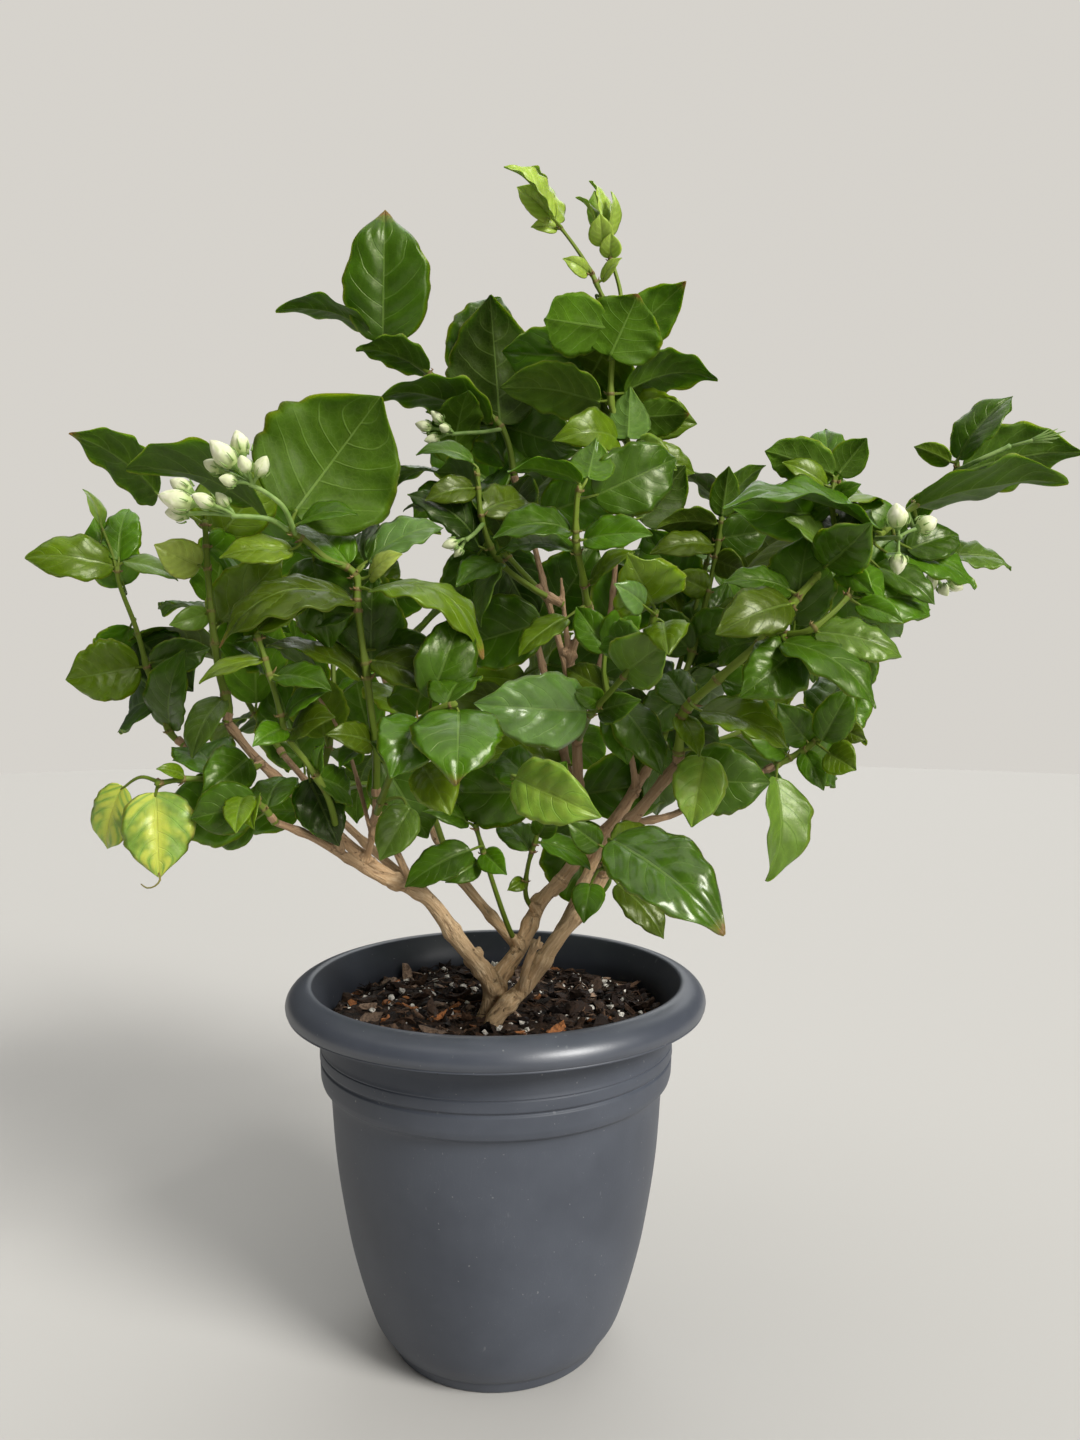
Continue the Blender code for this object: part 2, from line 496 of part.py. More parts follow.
# Shoots on the wood at the back and in the middle: stem, leaf pairs, leaf length and turn
HIDDEN_SHOOTS = (
    ("shoot_back_left", ((-0.078, 0.088, 0.384),
      (-0.094, 0.104, 0.430), (-0.108, 0.112, 0.486)), 3, 0.068, 20.0),
    ("shoot_back_left_low", ((-0.058, 0.058, 0.330),
      (-0.092, 0.092, 0.338), (-0.130, 0.122, 0.356)), 3, 0.066, 65.0),
    ("shoot_back_middle", ((0.014, 0.110, 0.452),
      (0.006, 0.118, 0.496), (0.002, 0.122, 0.556)), 3, 0.068, 40.0),
    ("shoot_back_low", ((0.036, 0.055, 0.350),
      (0.020, 0.102, 0.350), (0.006, 0.152, 0.366)), 3, 0.068, 10.0),
    ("shoot_back_right", ((0.130, 0.092, 0.380),
      (0.150, 0.106, 0.424), (0.160, 0.112, 0.480)), 3, 0.068, 75.0),
    ("shoot_back_right_low", ((0.104, 0.062, 0.336),
      (0.144, 0.092, 0.340), (0.186, 0.114, 0.356)), 3, 0.066, 30.0),
    ("shoot_side_left", ((-0.130, 0.032, 0.334),
      (-0.160, 0.052, 0.372), (-0.182, 0.062, 0.424)), 3, 0.066, 50.0),
    ("shoot_heart_left", ((-0.030, 0.024, 0.272),
      (-0.046, 0.012, 0.330), (-0.056, 0.010, 0.400)), 3, 0.062, 85.0),
    ("shoot_heart_middle", ((0.030, 0.040, 0.428),
      (-0.002, 0.046, 0.464), (-0.030, 0.050, 0.508)), 3, 0.060, 35.0),
    ("shoot_heart_low", ((-0.0938, -0.062, 0.314),
      (-0.088, -0.036, 0.352), (-0.090, -0.018, 0.404)), 3, 0.052, 60.0),
    ("shoot_heart_right", ((0.066, 0.016, 0.290),
      (0.092, 0.020, 0.340), (0.112, 0.030, 0.400), (0.126, 0.036, 0.452)), 4, 0.062, 5.0),
)

# Flower clusters: what carries each one, its stalk, and its buds
# A bud is the picture point and depth of its middle, its width, and its length in metres
CYMES = (
    dict(
        name="cyme_left", on="shoot_left_front",
        stalk=path((289, 531, -0.105), (272, 520, -0.112), (255, 517, -0.116),
                   (232, 516, -0.120)),
        buds=((176, 500, -0.124, 0.0105, 0.0165), (181, 486, -0.118, 0.0080, 0.0120),
              (177, 513, -0.116, 0.0080, 0.0120), (203, 500, -0.128, 0.0070, 0.0110),
              (222, 500, -0.122, 0.0060, 0.0085))),
    dict(
        name="cyme_left_upper", on="shoot_left_front",
        stalk=path((296, 536, -0.1035), (284, 508, -0.116), (268, 494, -0.120),
                   (250, 484, -0.124)),
        buds=((223, 454, -0.126, 0.0100, 0.0165), (240, 443, -0.120, 0.0085, 0.0130),
              (213, 466, -0.118, 0.0070, 0.0110), (262, 466, -0.128, 0.0070, 0.0110),
              (228, 480, -0.130, 0.0060, 0.0085), (244, 464, -0.132, 0.0065, 0.0095))),
    dict(
        name="cyme_top_left", on="shoot_top_left",
        stalk=path((502, 429, 0.048), (482, 432, 0.034), (464, 433, 0.030), (452, 434, 0.028)),
        buds=((424, 426, 0.028, 0.0070, 0.0110), (437, 417, 0.024, 0.0060, 0.0100),
              (432, 439, 0.024, 0.0060, 0.0100), (444, 428, 0.020, 0.0055, 0.0085))),
    dict(
        name="cyme_middle", on="shoot_middle_left",
        stalk=path((483, 524, -0.020), (474, 534, -0.030), (466, 540, -0.034)),
        buds=((450, 544, -0.036, 0.0060, 0.0095), (458, 552, -0.032, 0.0045, 0.0070))),
    dict(
        name="cyme_right", on="shoot_right_outer",
        stalk=path((873, 539, -0.061), (888, 538, -0.070), (901, 537, -0.076)),
        buds=((897, 516, -0.076, 0.0110, 0.0130), (927, 524, -0.072, 0.0095, 0.0120),
              (898, 564, -0.076, 0.0085, 0.0110))),
    dict(
        name="cyme_right_low", on="shoot_far_right",
        stalk=path((907, 512, -0.048), (922, 550, -0.030), (930, 568, -0.028)),
        buds=((932, 582, -0.030, 0.0080, 0.0095), (956, 585, -0.026, 0.0080, 0.0095),
              (944, 590, -0.034, 0.0060, 0.0080))),
    dict(
        name="cyme_far_right", on="shoot_far_right",
        stalk=path((956, 471, -0.038), (975, 462, -0.056), (1010, 446, -0.060)),
        buds=((1042, 438, -0.062, 0.0050, 0.0120),)),
)


def material(name, colour, roughness):
    """Principled material of one plain colour."""
    result = bpy.data.materials.new(name)
    result.use_nodes = True
    result.diffuse_color = (*colour, 1.0)
    shader = result.node_tree.nodes["Principled BSDF"]
    shader.inputs["Base Color"].default_value = (*colour, 1.0)
    shader.inputs["Roughness"].default_value = roughness
    shader.inputs["Metallic"].default_value = 0.0
    return result


def mesh_object(name, mesh, collection, *materials):
    """Object of a mesh, put in a collection with its materials."""
    for item in materials:
        mesh.materials.append(item)
    result = bpy.data.objects.new(name, mesh)
    collection.objects.link(result)
    return result


def evaluated_mesh(item):
    """Mesh of an object after its modifiers."""
    bpy.context.view_layer.update()
    graph = bpy.context.evaluated_depsgraph_get()
    return bpy.data.meshes.new_from_object(item.evaluated_get(graph), depsgraph=graph)


def tube(name, points, radii, resolution, collection, *materials):
    """Closed tube along points, with a radius at each, made from a bevelled curve."""
    curve = bpy.data.curves.new(name, "CURVE")
    curve.dimensions = "3D"
    curve.bevel_depth = 1.0
    curve.bevel_resolution = resolution
    curve.use_fill_caps = True
    spline = curve.splines.new("POLY")
    spline.points.add(len(points) - 1)
    for control, place, radius in zip(spline.points, points, radii):
        control.co = (*place, 1.0)
        control.radius = radius
    guide = bpy.data.objects.new(name + "_curve", curve)
    bpy.context.scene.collection.objects.link(guide)
    mesh = evaluated_mesh(guide)
    bpy.data.objects.remove(guide)
    weld_and_face_out(mesh)
    return mesh_object(name, mesh, collection, *materials)


def weld_and_face_out(mesh):
    """Weld the caps of a tube and turn its faces out."""
    work = bmesh.new()
    work.from_mesh(mesh)
    bmesh.ops.remove_doubles(work, verts=work.verts, dist=WELD)
    bmesh.ops.recalc_face_normals(work, faces=work.faces)
    work.to_mesh(mesh)
    work.free()


def taper(first, last, count):
    """Radii that run evenly from the first to the last."""
    return [first + (last - first) * index / (count - 1) for index in range(count)]


def fuse(trunk, limbs):
    """Join every object of a collection to one object by a Boolean union."""
    union = trunk.modifiers.new("Grown together", "BOOLEAN")
    union.operation = "UNION"
    union.solver = "MANIFOLD"
    union.operand_type = "COLLECTION"
    union.collection = limbs
    joined = evaluated_mesh(trunk)
    trunk.modifiers.clear()
    old = trunk.data
    trunk.data = joined
    bpy.data.meshes.remove(old)
    keep_outer_body(joined)
    for item in list(limbs.objects):
        bpy.data.objects.remove(item)
    bpy.data.collections.remove(limbs)


def keep_outer_body(mesh):
    """Fill the pockets that a union seals, by keeping only the body with the most faces."""
    work = bmesh.new()
    work.from_mesh(mesh)
    bodies = []
    seen_faces = set()
    for face in work.faces:
        if face in seen_faces:
            continue
        body = [face]
        seen_faces.add(face)
        for member in body:
            for edge in member.edges:
                for other in edge.link_faces:
                    if other not in seen_faces:
                        seen_faces.add(other)
                        body.append(other)
        bodies.append(body)
    bodies.sort(key=len)
    for body in bodies[:-1]:
        bmesh.ops.delete(work, geom=body, context="FACES")
    work.to_mesh(mesh)
    work.free()


def limb_collection(name):
    """Collection for the solids that are joined to a stem."""
    limbs = bpy.data.collections.new(name + "_limbs")
    bpy.context.scene.collection.children.link(limbs)
    return limbs


def turned(name, profile, collection, *materials):
    """Body turned about Z from a profile of radius and height, outer side running down."""
    mesh = bpy.data.meshes.new(name)
    points = [(radius, 0.0, height) for radius, height in profile]
    edges = [(index, index + 1) for index in range(len(points) - 1)]
    mesh.from_pydata(points, edges, [])
    result = mesh_object(name, mesh, collection, *materials)
    screw = result.modifiers.new("Turn", "SCREW")
    screw.steps = TURN_STEPS
    screw.render_steps = TURN_STEPS
    screw.use_merge_vertices = True
    screw.merge_threshold = WELD
    return result


def arc(centre, radius, start, end, count):
    """Profile points on an arc, angles in degrees from the outward direction."""
    points = []
    for index in range(count):
        angle = math.radians(start + (end - start) * index / (count - 1))
        points.append((centre[0] + radius * math.cos(angle), centre[1] + radius * math.sin(angle)))
    return points


def inner_radius(height):
    """Inner radius of the pot's plain wall at a height."""
    body = ((0.0, 0.0575), (0.024, 0.0708), (0.067, 0.0825), (0.141, 0.0920),
            (POT_HEIGHT, 0.1040))
    for (low, narrow), (high, wide) in zip(body, body[1:]):
        if height <= high:
            return narrow + (wide - narrow) * (height - low) / (high - low)
    return body[-1][1]


def make_pot(collection):
    """Plastic shell with a rolled rim, two bands, a foot step and drain holes."""
    plastic = material("Grey plastic", (0.075, 0.082, 0.097), 0.42)
    inside = [(0.0, FLOOR)]
    inside += [(inner_radius(height), height)
               for height in (FLOOR, 0.024, 0.067, 0.141)]
    rim = arc((0.1108, 0.2006), 0.0084, 150.0, 80.0, 3)
    lip = arc((0.1128, 0.2008), 0.0072, 44.0, -62.0, 4)
    neck = [(0.1100, 0.1955), (0.1004, 0.1930), (0.0996, 0.1765)]
    bands = [(0.1022, 0.1740), (0.1016, 0.1682), (0.0998, 0.1667), (0.1010, 0.1650),
             (0.1004, 0.1560), (0.0975, 0.1515), (0.0950, 0.1475)]
    body = [(0.0919, 0.108), (0.0854, 0.067), (0.0800, 0.045), (0.0738, 0.024),
            (0.0652, 0.0080), (0.0640, 0.0068), (0.0605, 0.0), (0.0, 0.0)]
    pot = turned("pot", inside + rim + lip + neck + bands + body, collection, plastic)

    cutters = bpy.data.collections.new("Cutters")
    bpy.context.scene.collection.children.link(cutters)
    drains = bmesh.new()
    for turn in range(DRAIN_COUNT):
        place = Matrix.Rotation(math.tau * turn / DRAIN_COUNT, 4, "Z")
        place @= Matrix.Translation((DRAIN_CIRCLE, 0, 0))
        bmesh.ops.create_cone(
            drains, cap_ends=True, segments=6, radius1=DRAIN_RADIUS, radius2=DRAIN_RADIUS,
            depth=6 * FLOOR, matrix=place)
    mesh = bpy.data.meshes.new("Drain holes")
    drains.to_mesh(mesh)
    drains.free()
    holes = mesh_object("drain_holes", mesh, cutters)
    holes.hide_render = True
    holes.display_type = "WIRE"
    cut = pot.modifiers.new("Drain holes", "BOOLEAN")
    cut.operation = "DIFFERENCE"
    cut.object = holes
    return cutters


def make_soil(collection, cutters):
    """Soil that fills the pot, with a lumpy top and a plain hole for the root crown."""
    earth = material("Soil", (0.035, 0.022, 0.015), 0.95)
    top = [(0.09 * step / 3, SOIL_LEVEL) for step in range(4)]
    edge = SOIL_LEVEL - 0.002
    wall = [(inner_radius(height) - GAP, height) for height in (edge, 0.141, 0.067, 0.024)]
    bottom = FLOOR + GAP
    wall.append((inner_radius(bottom) - GAP, bottom))
    wall.append((0.0, bottom))
    blank = turned("soil_blank", top + wall, collection)
    mesh = evaluated_mesh(blank)
    bpy.data.objects.remove(blank)
    for vertex in mesh.vertices:
        radius = vertex.co.xy.length
        if vertex.co.z > SOIL_LEVEL - 0.001:
            dome = SOIL_DOME * (1.0 - (radius / 0.1) ** 2)
            lump = noise.noise(vertex.co * 55.0) * 0.0035
            vertex.co.z += dome + lump
    soil = mesh_object("soil", mesh, collection, earth)

    hole = bmesh.new()
    bmesh.ops.create_cone(
        hole, cap_ends=True, segments=12, radius1=CROWN_RADIUS + GAP,
        radius2=CROWN_RADIUS + GAP, depth=0.06,
        matrix=Matrix.Translation((CROWN.x, CROWN.y, CROWN.z - CROWN_DEPTH - GAP + 0.03)))
    hole_mesh = bpy.data.meshes.new("Crown hole")
    hole.to_mesh(hole_mesh)
    hole.free()
    cutter = mesh_object("crown_hole", hole_mesh, cutters)
    cutter.hide_render = True
    cutter.display_type = "WIRE"
    cut = soil.modifiers.new("Crown hole", "BOOLEAN")
    cut.operation = "DIFFERENCE"
    cut.object = cutter
    return soil


def spur_length(stem):
    """Length of a shoot's spur: short where a branch ends, longer beside one."""
    ends = [points[-1] for _, points, _, _ in WOOD] + [shoot["stem"][-1] for shoot in SHOOTS]
    at_end = any((end - stem[0]).length < SAME_PLACE for end in ends)
    return SPUR_TIP if at_end else SPUR_SIDE


def spur_end(stem, length):
    """End of the spur that a stem grows from, and the stem's direction there."""
    direction = (stem[1] - stem[0]).normalized()
    return stem[0] + direction * length, direction


def spur(name, stem, length, radius, collection, *materials):
    """Short stub on a branch, whose flat end carries a stem."""
    end, _ = spur_end(stem, length)
    return tube(name, [stem[0], end], [radius, radius], 0, collection, *materials)


def stem_after_spur(stem, length):
    """Points of a stem that starts a hair's breadth past its spur."""
    end, direction = spur_end(stem, length)
    points = [end + direction * GAP, end + direction * SPUR_STEP]
    travelled = length + 2.0 * SPUR_STEP
    return points + [point for point in stem[1:] if (point - stem[0]).length > travelled]


def make_wood(collection, spurs):
    """Root crown, branches and knots, grown as one piece, with a spur for each shoot."""
    bark = material("Bark", (0.40, 0.27, 0.16), 0.75)
    limbs = limb_collection("wood")
    crown_low = Vector((CROWN.x, CROWN.y, CROWN.z - CROWN_DEPTH))
    crown_high = Vector((CROWN.x, CROWN.y, CROWN.z + 0.012))
    crown_radii = [CROWN_RADIUS - 0.0005, CROWN_RADIUS - 0.0025]
    wood = tube("wood", [crown_low, crown_high], crown_radii, 2, collection, bark)
    loose = list(spurs)
    for name, points, first, last in WOOD:
        points = list(points)
        radii = taper(first, last, len(points))
        for item in spurs:
            if (item[1][0] - points[-1]).length < SAME_PLACE:
                points.append(spur_end(item[1], SPUR_TIP)[0])
                radii.append(item[2])
                loose.remove(item)
        sides = 1 if first > THICK_BRANCH else 0
        tube("wood_" + name, points, radii, sides, limbs, bark)
    for index, (u, v, y, radius) in enumerate(KNOTS):
        knot = bmesh.new()
        place = Matrix.Translation(seen(u, v, y))
        bmesh.ops.create_icosphere(knot, subdivisions=1, radius=radius, matrix=place)
        mesh = bpy.data.meshes.new("knot")
        knot.to_mesh(mesh)
        knot.free()
        mesh_object("knot_%d" % index, mesh, limbs, bark)
    for name, stem, radius in loose:
        spur("spur_" + name, stem, SPUR_SIDE, radius, limbs, bark)
    fuse(wood, limbs)
    return wood


def stem_point(stems, u, v):
    """Point inside the stems that is seen nearest to the picture point (u, v)."""
    best = None
    for stem in stems:
        stem = shortened(stem)
        for first, second in zip(stem, stem[1:]):
            for step in range(9):
                place = first.lerp(second, step / 8)
                seen_u, seen_v = picture_point(place)
                distance = math.hypot(seen_u - u, seen_v - v)
                if best is None or distance < best[0]:
                    best = (distance, place)
    return best[1]


def shortened(stem):
    """Stem without the hair's breadth at each end where a leaf would sit on the cut face."""
    first = stem[0] + (stem[1] - stem[0]).normalized() * END_INSET
    last = stem[-1] + (stem[-2] - stem[-1]).normalized() * END_INSET
    return [first, *stem[1:-1], last]


def upward_cross(axis, facing, middle):
    """Direction across the view of a leaf's axis that points up, or outward on a hanging leaf."""
    cross = axis.cross(facing).normalized()
    if abs(cross.z) > 0.25:
        wanted = cross.z
    else:
        wanted = cross.dot(Vector((middle.x, middle.y, 0.0)))
    return cross if wanted >= 0.0 else -cross


def seen_leaf(item, stems):
    """Place in the world of a leaf that is given by its picture points."""
    root = stem_point(stems, *item["base"])
    depth = root.y if item["y"] is None else item["y"]
    base = seen(*item["base"], depth)
    point_size = (depth - EYE.y) / FOCAL
    width = item["width"] * point_size
    tip = seen(*item["tip"], depth)
    length = (tip - base).length
    if item["lean"] is None:
        shortfall = (LEAST_LENGTH * width) ** 2 - length ** 2
        lean = math.sqrt(max(shortfall, 0.0))
    else:
        lean = item["lean"]
    tip = seen(*item["tip"], depth - lean)
    axis = (tip - base).normalized()
    middle = (tip + base) * 0.5
    facing = EYE - middle
    facing = (facing - axis * facing.dot(axis)).normalized()
    cross = upward_cross(axis, facing, middle)
    full = max(width, SLIM * (tip - base).length)
    tilt = math.acos(min(1.0, width / full))
    normal = facing * math.cos(tilt) * item["side"] + cross * math.sin(tilt)
    return dict(
        root=root, base=base, tip=tip, normal=normal, width=full, arch=item["arch"],
        fold=item["fold"], wave=item["wave"])


def grown_leaves(stem, pairs, length, turn):
    """Opposite pairs of leaves along a hidden stem, each pair turned a quarter from the last."""
    leaves = []
    stem = shortened(stem)
    for pair in range(pairs):
        share = 0.28 + 0.72 * pair / (pairs - 1)
        place, along = point_along(stem, share)
        reference = along.cross(Vector((0.3, 0.2, 1.0))).normalized()
        for half in range(2):
            angle = math.radians(turn + 90.0 * pair + 180.0 * half + 14.0 * math.sin(3.0 * pair))
            out = Matrix.Rotation(angle, 3, along) @ reference
            rise = 0.30 + 0.25 * share
            axis = (out + along * rise + Vector((0.0, 0.0, -0.10))).normalized()
            size = length * (1.0 - 0.22 * abs(share - 0.6)) * (0.92 + 0.12 * math.sin(5.1 * angle))
            base = place + axis * 0.007
            normal = Vector((0.0, 0.0, 1.0)) + along * 0.6
            normal = (normal - axis * normal.dot(axis)).normalized()
            leaves.append(dict(
                root=place, base=base, tip=base + axis * size, normal=normal,
                width=size * 0.68, arch=0.12, fold=0.14, wave=0.06))
    return leaves


def point_along(stem, share):
    """Point at a share of a stem's length, and the stem's direction there."""
    lengths = [(second - first).length for first, second in zip(stem, stem[1:])]
    wanted = share * sum(lengths)
    for first, second, length in zip(stem, stem[1:], lengths):
        if wanted <= length or second is stem[-1]:
            return first.lerp(second, min(1.0, wanted / length)), (second - first).normalized()
        wanted -= length


def half_width(share):
    """Half width of a leaf's outline at a share of its length, 1 at its widest."""
    return share ** 0.5 * (1.0 - share) ** 0.78 / 0.4256


def leaf_sections(item, index, extra):
    """Four-pointed sections of a leaf from its foot to just before its tip."""
    axis = item["tip"] - item["base"]
    length = axis.length
    axis = axis / length
    normal = item["normal"]
    across = axis.cross(normal).normalized()
    stalk = item["base"] - item["root"]
    sections = []
    stations = STATIONS_BROAD if item["width"] > BROAD_LEAF else STATIONS_NARROW
    if stalk.length > SHORT_STALK:
        upright = across.cross(stalk).normalized()
        if upright.dot(normal) < 0.0:
            upright = -upright
        size = STALK_RADIUS + extra * 0.5
        for middle in (item["root"], item["base"]):
            sections.append((middle - across * size, middle + upright * size,
                             middle + across * size, middle - upright * size))
    for order, share in enumerate(stations):
        bow = item["arch"] * length * 4.0 * share * (1.0 - share)
        middle = item["base"] + axis * (length * share) + normal * bow
        half = item["width"] * 0.5 * half_width(share)
        rise = item["fold"] * half
        ripple = item["wave"] * half
        ripple_left = ripple * math.sin(2.4 * order + 1.7 * index)
        ripple_right = ripple * math.sin(2.4 * order + 2.9 * index + 1.0)
        thick = (BLADE_THICKNESS * (1.0 if order else FOOT_THICKENING) + extra) * 0.5
        side = half + extra
        sections.append((
            middle - across * side + normal * (rise + ripple_left),
            middle + normal * thick,
            middle + across * side + normal * (rise + ripple_right),
            middle - normal * thick))
    return sections


def leaf_shape(item, index, extra=0.0):
    """Points and triangles of one leaf with its stalk, closed, faces out."""
    sections = leaf_sections(item, index, extra)
    axis = (item["tip"] - item["base"]).normalized()
    points = [point for section in sections for point in section]
    points.append(item["tip"] + axis * extra)
    tip = len(points) - 1
    stalk = item["base"] - item["root"]
    if stalk.length > SHORT_STALK:
        triangles = [(0, 2, 1), (0, 3, 2)]
    else:
        inward = stalk if stalk.length > 0.0001 else axis
        points.append(item["root"] - inward.normalized() * ROOT_DEPTH)
        triangles = [((corner + 1) % 4, corner, tip + 1) for corner in range(4)]
    for order in range(len(sections) - 1):
        low = 4 * order
        left, top, right, under = range(low, low + 4)
        left_next, top_next, right_next, under_next = range(low + 4, low + 8)
        triangles += [(left, top, top_next), (left, top_next, left_next)]
        triangles += [(left, under_next, under), (left, left_next, under_next)]
        triangles += [(right, top_next, top), (right, right_next, top_next)]
        triangles += [(right, under, under_next), (right, under_next, right_next)]
    low = 4 * (len(sections) - 1)
    triangles += [(low + corner, low + (corner + 1) % 4, tip) for corner in range(4)]
    return points, triangles


def shape_tree(points, triangles):
    """Search tree of a shape and the corners of its box."""
    low = Vector([min(point[axis] for point in points) for axis in range(3)])
    high = Vector([max(point[axis] for point in points) for axis in range(3)])
    return BVHTree.FromPolygons(points, triangles), low, high


def object_tree(item):
    """Search tree of an object's mesh and the corners of its box."""
    points = [vertex.co.copy() for vertex in item.data.vertices]
    faces = [tuple(face.vertices) for face in item.data.polygons]
    return shape_tree(points, faces)


def touches(first, second):
    """Whether two shapes cross."""
    for axis in range(3):
        if first[1][axis] > second[2][axis] or second[1][axis] > first[2][axis]:
            return False
    return bool(first[0].overlap(second[0]))


def bends():
    """Ways to bend a leaf clear, mildest first: tip towards the eye, roll, size and swing."""
    tries = []
    for size in (1.0, 0.86, 0.72):
        for swing in (0.0, 10.0, -10.0, 22.0, -22.0):
            for nearer in (0.0, 0.007, -0.007, 0.015, -0.015, 0.025, -0.025):
                for roll in (0.0, 12.0, -12.0, 25.0, -25.0):
                    effort = (1.0 - size) * 9.0 + abs(swing) / 14.0
                    effort += abs(nearer) / 0.014 + abs(roll) / 22.0
                    tries.append((effort, size, swing, nearer, roll))
    tries.sort(key=lambda item: item[0])
    return tries


def bent(item, size, swing, nearer, roll):
    """Copy of a leaf bent by the given amounts."""
    base = item["base"]
    chord = (item["tip"] - base) * size
    view = (EYE - base).normalized()
    chord = Matrix.Rotation(math.radians(swing), 3, view) @ chord + view * nearer
    axis = chord.normalized()
    normal = (item["normal"] - axis * item["normal"].dot(axis)).normalized()
    normal = Matrix.Rotation(math.radians(roll), 3, axis) @ normal
    return {**item, "tip": base + chord, "normal": normal, "width": item["width"] * size}


def clear_leaf(item, index, own, others, ways):
    """The least bent form of a leaf that crosses no other shape, or None."""
    for _, size, swing, nearer, roll in ways:
        form = bent(item, size, swing, nearer, roll)
        tree = shape_tree(*leaf_shape(form, index, CLEARANCE))
        if any(touches(tree, other) for other in others):
            continue
        if any(touches(tree, other) for other in own):
            continue
        return form
    return None


def settle_leaves(plans, solids):
    """Bend every leaf clear of the solids of other nodes and of all leaves placed before it."""
    ways = bends()
    placed = {name: [] for name in plans}
    trees = {name: [] for name in plans}
    blades = {name: [] for name in plans}
    index = 0
    for name, leaves in plans.items():
        for item in leaves:
            others = [tree for owner, tree in solids if owner != name]
            for owner in plans:
                if owner != name:
                    others += trees[owner]
            form = clear_leaf(item, index, blades[name], others, ways)
            if form is not None:
                placed[name].append((form, index))
                trees[name].append(shape_tree(*leaf_shape(form, index)))
                own = {**form, "root": form["base"].lerp(form["tip"], 0.16)}
                own["base"] = form["base"].lerp(form["tip"], 0.16)
                blades[name].append(shape_tree(*leaf_shape(own, index)))
            index += 1
    return placed


def add_leaves(shoot, leaves, colour):
    """Grow a shoot's leaves on its stem."""
    limbs = limb_collection(shoot.name)
    for form, index in leaves:
        points, triangles = leaf_shape(form, index)
        mesh = bpy.data.meshes.new("leaf")
        mesh.from_pydata(points, [], triangles)
        mesh_object("leaf_%d" % index, mesh, limbs, colour)
    fuse(shoot, limbs)


def shoot_stem(name, stem, radius, twigs, spurs, collection, colour):
    """Stem of a shoot, with its twigs and the spurs that its own cymes and shoots grow from."""
    points = stem_after_spur(stem, spur_length(stem))
    limbs = limb_collection(name)
    shoot = tube(name, points, taper(*radius, len(points)), 0, collection, colour)
    for order, twig in enumerate(twigs):
        radii = taper(radius[1] * 0.95, radius[1] * 0.62, len(twig))
        tube("twig_%d" % order, twig, radii, 0, limbs, colour)
    for child, child_stem, length, width in spurs:
        spur("spur_" + child, child_stem, length, width, limbs, colour)
    if limbs.objects:
        fuse(shoot, limbs)
    else:
        bpy.data.collections.remove(limbs)
    return shoot


def ring(centre, direction, radius):
    """Five points round a centre, across a direction."""
    side = direction.orthogonal().normalized() * radius
    return [centre + Matrix.Rotation(math.tau * corner / BUD_SIDES, 3, direction) @ side
            for corner in range(BUD_SIDES)]


def bud_shape(hub, centre, width, length):
    """Bud on its small stalk: a point in the hub, a thin neck, an egg shape and its tip."""
    direction = (centre - hub).normalized()
    foot = centre - direction * (length * 0.50)
    points = [hub - direction * 0.001]
    for along, radius in ((0.0, BUD_NECK), (0.26, width * 0.44), (0.60, width * 0.46)):
        points += ring(foot + direction * (length * along), direction, radius)
    points.append(foot + direction * length)
    last = len(points) - 1
    faces = []
    for corner in range(BUD_SIDES):
        following = (corner + 1) % BUD_SIDES
        faces.append((0, 1 + following, 1 + corner))
        for level in range(2):
            low = 1 + BUD_SIDES * level
            high = low + BUD_SIDES
            faces.append((low + corner, low + following, high + following))
            faces.append((low + corner, high + following, high + corner))
        low = 1 + BUD_SIDES * 2
        faces.append((low + corner, low + following, last))
    mesh = bpy.data.meshes.new("bud")
    mesh.from_pydata(points, [], faces)
    weld_and_face_out(mesh)
    return mesh


def make_cyme(item, collection, stalk_colour, bud_colour):
    """Flower cluster: stalk, small stalks and buds, grown as one piece."""
    points = stem_after_spur(item["stalk"], SPUR_CYME)
    limbs = limb_collection(item["name"])
    radii = [CYME_RADIUS] * len(points)
    cyme = tube(item["name"], points, radii, 0, collection, stalk_colour, bud_colour)
    hub = points[-1] + (points[-2] - points[-1]).normalized() * END_INSET
    for order, (u, v, y, width, length) in enumerate(item["buds"]):
        bud = mesh_object(
            "bud_%d" % order, bud_shape(hub, seen(u, v, y), width, length), limbs,
            stalk_colour, bud_colour)
        for face in bud.data.polygons:
            if (face.center - hub).length > (seen(u, v, y) - hub).length - length * 0.49:
                face.material_index = 1
    fuse(cyme, limbs)
    return cyme


def carried(parent):
    """Stems that grow on a shoot: name, stem, spur length and spur radius."""
    stems = [(shoot["name"], shoot["stem"], spur_length(shoot["stem"]), shoot["radius"][0])
             for shoot in SHOOTS if shoot["on"] == parent]
    stems += [(cyme["name"], cyme["stalk"], SPUR_CYME, CYME_SPUR_RADIUS)
              for cyme in CYMES if cyme["on"] == parent]
    return stems


